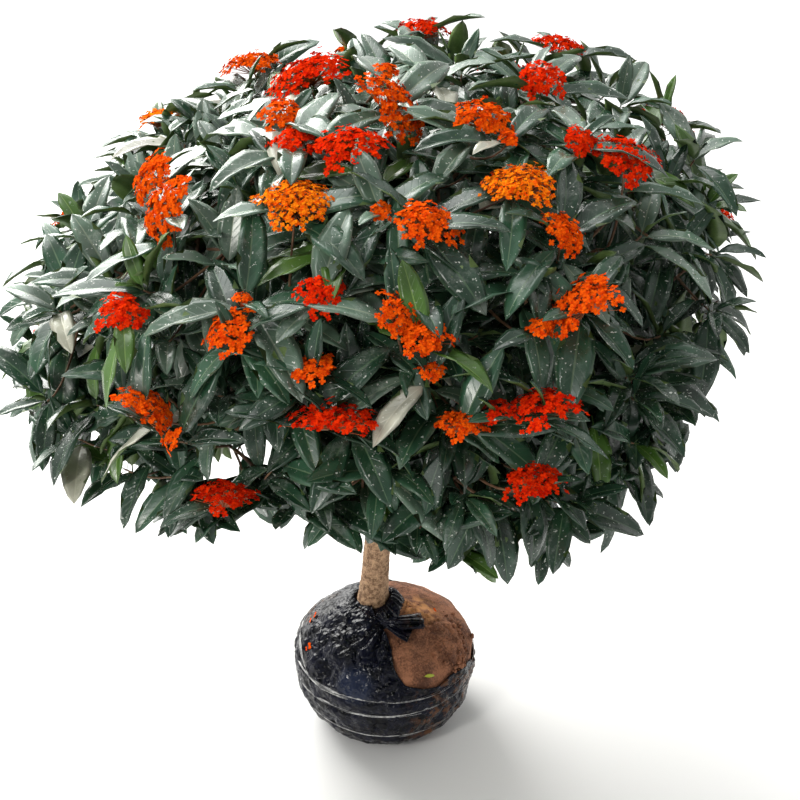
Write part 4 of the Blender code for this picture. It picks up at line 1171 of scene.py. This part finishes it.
bent_inputs = [(0, bends), (1, (0.035, 0.035, 0.035)), (2, film_place)]
bent_place = add_node(film_tree, "ShaderNodeVectorMath", bent_inputs, operation="MULTIPLY_ADD").outputs[0]
coarse, fine = [
    add_node(film_tree, "ShaderNodeTexVoronoi", [("Vector", bent_place), ("Scale", scale)]).outputs["Distance"]
    for scale in (42, 110)
]
creases = maths(film_tree, "MULTIPLY_ADD", fine, 0.4, coarse)
film_bump = add_node(film_tree, "ShaderNodeBump", [("Height", creases), ("Strength", 0.65), ("Distance", 0.006)])
film_tree.links.new(film_bump.outputs[0], film_tree.nodes["Principled BSDF"].inputs["Normal"])
add_piece("film_sheet", film_points, faces, [film_finish], "black_film", ["film_sack"])

# %% [markdown]
# ### Bare soil and clods
# Under the film the soil keeps to the ball's shape. Where it is bare it has a mound, fine grain and a few crumbly
# spots. A skin that is pushed in and out has no overhangs, as loose crumbs have, so separate clods lie on it in
# patches, each a small ball with a random squash.

# %% Bare soil
SOIL_COLUMNS, SOIL_ROWS = 330, 170
SOIL_UNDER = 0.0033  # how far the soil's skin lies below the film's
CRUMBLY = (
    (0.120, -0.056, 0.194),
    (0.131, -0.083, 0.162),
    (0.098, -0.049, 0.214),
    (0.041, -0.026, 0.240),
    (0.036, -0.108, 0.213),
)
SOIL_MOUND = (0.064, -0.124, 0.188)
latitude_line = np.radians(np.linspace(-89, 89, SOIL_ROWS))
azimuth_line = np.linspace(0, math.tau, SOIL_COLUMNS, endpoint=False)
latitudes, azimuths = np.meshgrid(latitude_line, azimuth_line, indexing="ij")
base = ball_skin(azimuths, latitudes, 0 * latitudes - SOIL_UNDER)
edges = np.radians(edge_latitude(azimuths - edge_lean(azimuths, latitudes)))
bare = np.clip((latitudes - edges) / 0.14, 0, 1)
crumbly = np.clip(sum(near(base, spot, 0.026) for spot in CRUMBLY), 0.08, 1)
lumps = 0.0022 * ripples(base, 0.060, 23) + 0.0080 * near(base, SOIL_MOUND, 0.030)
lumps = lumps + crumbly * (0.0095 * crumple(base, 0.018, 21) + 0.0060 * crumple(base, 0.009, 22) - 0.0045)
lumps = bare * (lumps + 0.0010 * crumple(base, 0.006, 24) + 0.0005 * ripples(base, 0.004, 25))
points = ball_skin(azimuths, latitudes, np.clip(lumps, -0.004, 0.010) - SOIL_UNDER)
points = np.concatenate([points.reshape(-1, 3), [points[0].mean(0), points[-1].mean(0)]])
soil_tree = soil_finish.node_tree
# A lighter orange patch, broken by noise, near the top of the bare soil.
lighter_patch = spot_share(soil_tree, (0.064, -0.010, 0.236), 0.055, 0.010)
tint_base(soil_finish, ((0.66, 0.31, 0.115), lighter_patch, ramp(soil_tree, noise(soil_tree, 60, 4.0), 0.38, 0.62)))
add_piece("soil", points, capped_grid(SOIL_ROWS, SOIL_COLUMNS), [soil_finish], "soil", ["soil_ball"])

# %% Loose clods
# Each patch: azimuth, latitude and spread in degrees, how many clods, and their radii in metres
CLOD_PATCHES = (
    (334, 28, 10, 80, 0.0016, 0.0058),
    (330, 13, 6, 30, 0.0014, 0.0048),
    (338, 60, 8, 40, 0.0012, 0.0028),
    (291, 40, 4, 24, 0.0015, 0.0036),
    (330, 45, 16, 50, 0.0008, 0.0020),
)
CLOD_ROWS, CLOD_COLUMNS = 7, 10
clod_rng = np.random.default_rng(26)
spots = []
for azimuth, latitude, spread, number, small, large in CLOD_PATCHES:
    turned, raised = clod_rng.normal(azimuth, spread, number), clod_rng.normal(latitude, spread * 0.8, number)
    spots.append(np.stack([np.radians(turned), np.radians(raised), clod_rng.uniform(small, large, number)]))
turned, raised, clod_radii = np.concatenate(spots, 1)
places = ball_skin(turned, raised, clod_radii * 0.3)
rise_line = np.radians(np.linspace(-75, 75, CLOD_ROWS))
turn_line = math.tau * np.arange(CLOD_COLUMNS) / CLOD_COLUMNS
rise, turn = np.meshgrid(rise_line, turn_line, indexing="ij")
ball = np.stack([np.cos(rise) * np.cos(turn), np.cos(rise) * np.sin(turn), np.sin(rise)], -1)
ball = np.concatenate([ball.reshape(-1, 3), [[0, 0, -1], [0, 0, 1]]])
grit = ripples(ball[None] + clod_rng.uniform(0, 50, (len(places), 1, 3)), 1.3, 27)
squash = clod_rng.uniform(0.7, 1.2, (len(places), 1, 3))
points = places[:, None] + ball * squash * clod_radii[:, None, None] * (1 + 0.28 * grit)[..., None]
faces = [copies(part, len(places), len(ball)) for part in capped_grid(CLOD_ROWS, CLOD_COLUMNS)]
add_piece("clods", points, faces, [soil_finish], "soil")

# %% [markdown]
# ### Gathered mouth
# The film's mouth is a pleated collar round the trunk's foot. It widens towards the knot, where two flattened lobes
# of bunched film stand out to one side. They could be folds of the film's own grid, but they hang over it, so each is
# a tube through a few stations that are easy to move.

# %% Pleated collar
GATHER_COLUMNS = 240
COLLAR_PROFILE = np.array(  # share of the collar's width, and height above the ball
    [
        (0.02, -0.004), (0.00, 0.004), (0.03, 0.009), (0.14, 0.0125), (0.30, 0.0125),
        (0.48, 0.0100), (0.66, 0.0070), (0.84, 0.0040), (1.00, 0.0012), (1.02, -0.0035),
    ]
)
turn = np.linspace(0, math.tau, GATHER_COLUMNS, endpoint=False)
towards_knot = np.maximum(0, np.cos(turn - math.radians(-74))) ** 6
pleats = np.abs(np.sin(turn * 11 + 1.3 * np.sin(turn * 3))) + 0.5 * np.abs(np.sin(turn * 25 + 2 * np.sin(turn * 5)))
share = COLLAR_PROFILE[:, :1]
midway = np.sin(np.clip(share, 0, 1) * math.pi)
width = 0.018 + 0.026 * towards_knot + 0.010 * np.maximum(0, np.cos(turn - math.radians(-15))) ** 4
radius = 0.0292 + width * share + 0.0026 * (pleats - 0.7) * midway
x, y = FOOT_X + radius * np.cos(turn), radius * np.sin(turn)
in_front = np.maximum(0, np.cos(turn - math.radians(-100)))
lip = COLLAR_PROFILE[:, 1:] * (1 - 0.95 * in_front) * (1 + 0.22 * np.sin(turn * 5 + 1) * np.sin(turn * 3))
collar = np.stack([x, y, top_height(x, y) + lip + 0.0030 * (pleats - 0.5) * midway], -1)
print("collar's width", width.min().round(4), "to", width.max().round(4))

# %% Lobes at the knot
LOBE_ROWS, LOBE_COLUMNS = 26, 48


def lobe(stations, seed):
    """A flattened, pleated tube along a few stations, each a place, a half width and a half depth. Its radius waves
    round it and grows along it."""
    t = np.linspace(0, 1, LOBE_ROWS)
    stations = np.array(stations)
    *path, wide, deep = [np.interp(t, np.linspace(0, 1, len(stations)), column) for column in stations.T]
    path = np.stack(path, -1)
    path = (path + np.vstack([path[:1], path[:-1]]) + np.vstack([path[1:], path[-1:]])) / 3
    along = unit(np.gradient(path, axis=0))
    side = unit(np.cross(along, UP))
    above = np.cross(side, along)
    a = math.tau * np.arange(LOBE_COLUMNS) / LOBE_COLUMNS
    t, wide, deep = t[:, None], wide[:, None], deep[:, None]
    wave = 0.86 + 0.42 * np.abs(np.sin(a * 3.5 + seed + 0.6 * t)) + 0.08 * np.sin(a * 5 + t * 9 + seed)
    rings = path[:, None] + side[:, None] * (np.cos(a) * wide * wave)[..., None]
    rings = rings + above[:, None] * (np.sin(a) * deep * wave)[..., None]
    ends = np.stack([path[0], path[-1] - along[-1] * 0.006])
    return np.concatenate([rings.reshape(-1, 3), ends]), capped_grid(LOBE_ROWS, LOBE_COLUMNS)


UPPER_LOBE = (
    (-0.010, -0.050, 0.2490, 0.010, 0.006),
    (0.002, -0.068, 0.2445, 0.005, 0.006),
    (0.030, -0.068, 0.2455, 0.013, 0.008),
    (0.066, -0.057, 0.2405, 0.016, 0.008),
)
LOWER_LOBE = (
    (-0.004, -0.062, 0.2450, 0.0060, 0.005),
    (0.006, -0.072, 0.2415, 0.0045, 0.004),
    (0.026, -0.080, 0.2350, 0.0100, 0.005),
    (0.045, -0.085, 0.2295, 0.0130, 0.006),
)
collar_faces = [grid_faces(len(COLLAR_PROFILE), GATHER_COLUMNS, closed=True)]
points, faces = joined([(collar, collar_faces), lobe(UPPER_LOBE, 0.4), lobe(LOWER_LOBE, 2.0)])
add_piece("film_mouth", points, faces, [film_finish], "black_film", ["film_gather"])

# %% [markdown]
# ### Stretched strands
# Each band is stretch film that is pulled until it bunches. It could be a flat ribbon, but then the bunching would
# not show, so it is a few thin strands that wander beside each other. Their thickness comes and goes, is greatest on
# the ball's left and fades on its right, where they sink into the film. One more bundle comes round the left side and
# drops into the highest band.

# %% Strands
STRANDS_EACH, LEFT_STRANDS = 5, 3
STRAND_POINTS = 260
LEFT_PATH = ((150, 0.172), (176, 0.173), (196, 0.168), (208, 0.160), (216, 0.148), (228, 0.143), (250, 0.147))
# The strands' colour is mottled from dark to pale grey along them: their own pale colour broken by painted glints that
# come and go.
strand_glint_finish = mottled_material("stretch_film", (0.10, 0.10, 0.11), (0.74, 0.74, 0.73), 30, 160, 0.3, 0.1)


def on_ball(turns, heights, out):
    """Points on the ball's skin at heights above the floor, moved out by a distance."""
    return ball_skin(turns, ball_latitudes(turns, heights), out + 0 * turns)


turn = np.linspace(0, math.tau, STRAND_POINTS)
for name, (level, tilt, high_side) in BAND_LOOPS.items():
    seed = len(name)
    paths, radii = [], []
    is_high = name == "binding_band_high"
    for strand in range(STRANDS_EACH):
        place = np.stack([np.cos(turn) * 0.15, np.sin(turn) * 0.15, 0 * turn + 0.03 * strand + seed], -1)
        wander = 0.0040 * ripples(place, 0.16, seed) + 0.0014 * (strand - 2)
        heights = level + tilt * np.cos(turn - math.radians(high_side)) + wander
        paths.append(on_ball(turn, heights, 0.0012 + 0.0003 * strand))
        bright = 0.40 + 1.5 * hump(np.degrees(turn), 218, 32) * is_high
        fading = 1 - 0.9 * hump(np.degrees(turn), 326, 34)
        radii.append(0.0008 * np.clip((bright + 0.75 * ripples(place, 0.06, seed + strand)) * fading, 0.04, 2.0))
    for strand in range(LEFT_STRANDS * is_high):
        azimuths = np.linspace(150, 250, STRAND_POINTS)
        heights = np.interp(azimuths, *np.array(LEFT_PATH).T) + 0.0015 * (strand - 1) * np.sin(azimuths * 0.12)
        paths.append(on_ball(np.radians(azimuths), heights, 0.0050 + 0.0004 * strand))
        radii.append(0.0009 * (1.03 - np.linspace(-1, 1, STRAND_POINTS) ** 2))
    points, faces = tubes(np.stack(paths), np.stack(radii), 5)
    add_piece(name.replace("band", "strands"), points, faces, [strand_glint_finish], "clear_band", [name])

# %% [markdown]
# ### What has fallen
# A few orange flowers have dropped on the film and the soil, and one small yellowed leaf lies on the soil. They could
# be dropped by a simulation, but so few are quicker to place by azimuth and latitude, with the helpers that made the
# flowers and leaves above.

# %% Fallen petals and a leaf
# Azimuth and latitude in degrees, and the flower's width. The first four lie on the film.
FALLEN = ((176, 42, 0.014), (180, 38, 0.011), (204, 29, 0.014), (202, 24, 0.009), (356, 47, 0.009), (44, 72, 0.009))
azimuths, latitudes, widths = np.array(FALLEN).T
azimuths, latitudes = np.radians(azimuths), np.radians(latitudes)
film_out = film_height(ball_skin(azimuths, latitudes, 0 * widths), azimuths)
places = ball_skin(azimuths, latitudes, 0.002 + np.where(np.arange(len(FALLEN)) < 4, film_out, 0))
facing = unit(places - BALL_HEART)
petals = flowers_at(places, facing, unit(np.cross(facing, UP)), widths)
add_piece("fallen_petals", *petals, [petal_finishes["orange"]], "foliage")

fallen_finishes = [
    new_material("fallen_leaf", (0.42, 0.48, 0.04), 0.5),
    new_material("fallen_rib", (0.62, 0.62, 0.14), 0.5),
    new_material("fallen_under", (0.30, 0.30, 0.06), 0.6),
]
root = ball_skin(*np.radians([[297.0], [21.0]]), np.array([0.0085]))
axis, up = np.array([[0.98, 0.20, 0.02]]), np.array([[0.2, -0.6, 0.77]])
length, width, bend, fold, wave = [np.array([value]) for value in (0.021, 0.0065, 0.5, 0.4, 0.0)]
add_leaves("fallen_leaf", leaf_points(root, axis, up, length, width, bend, fold, wave), fallen_finishes)
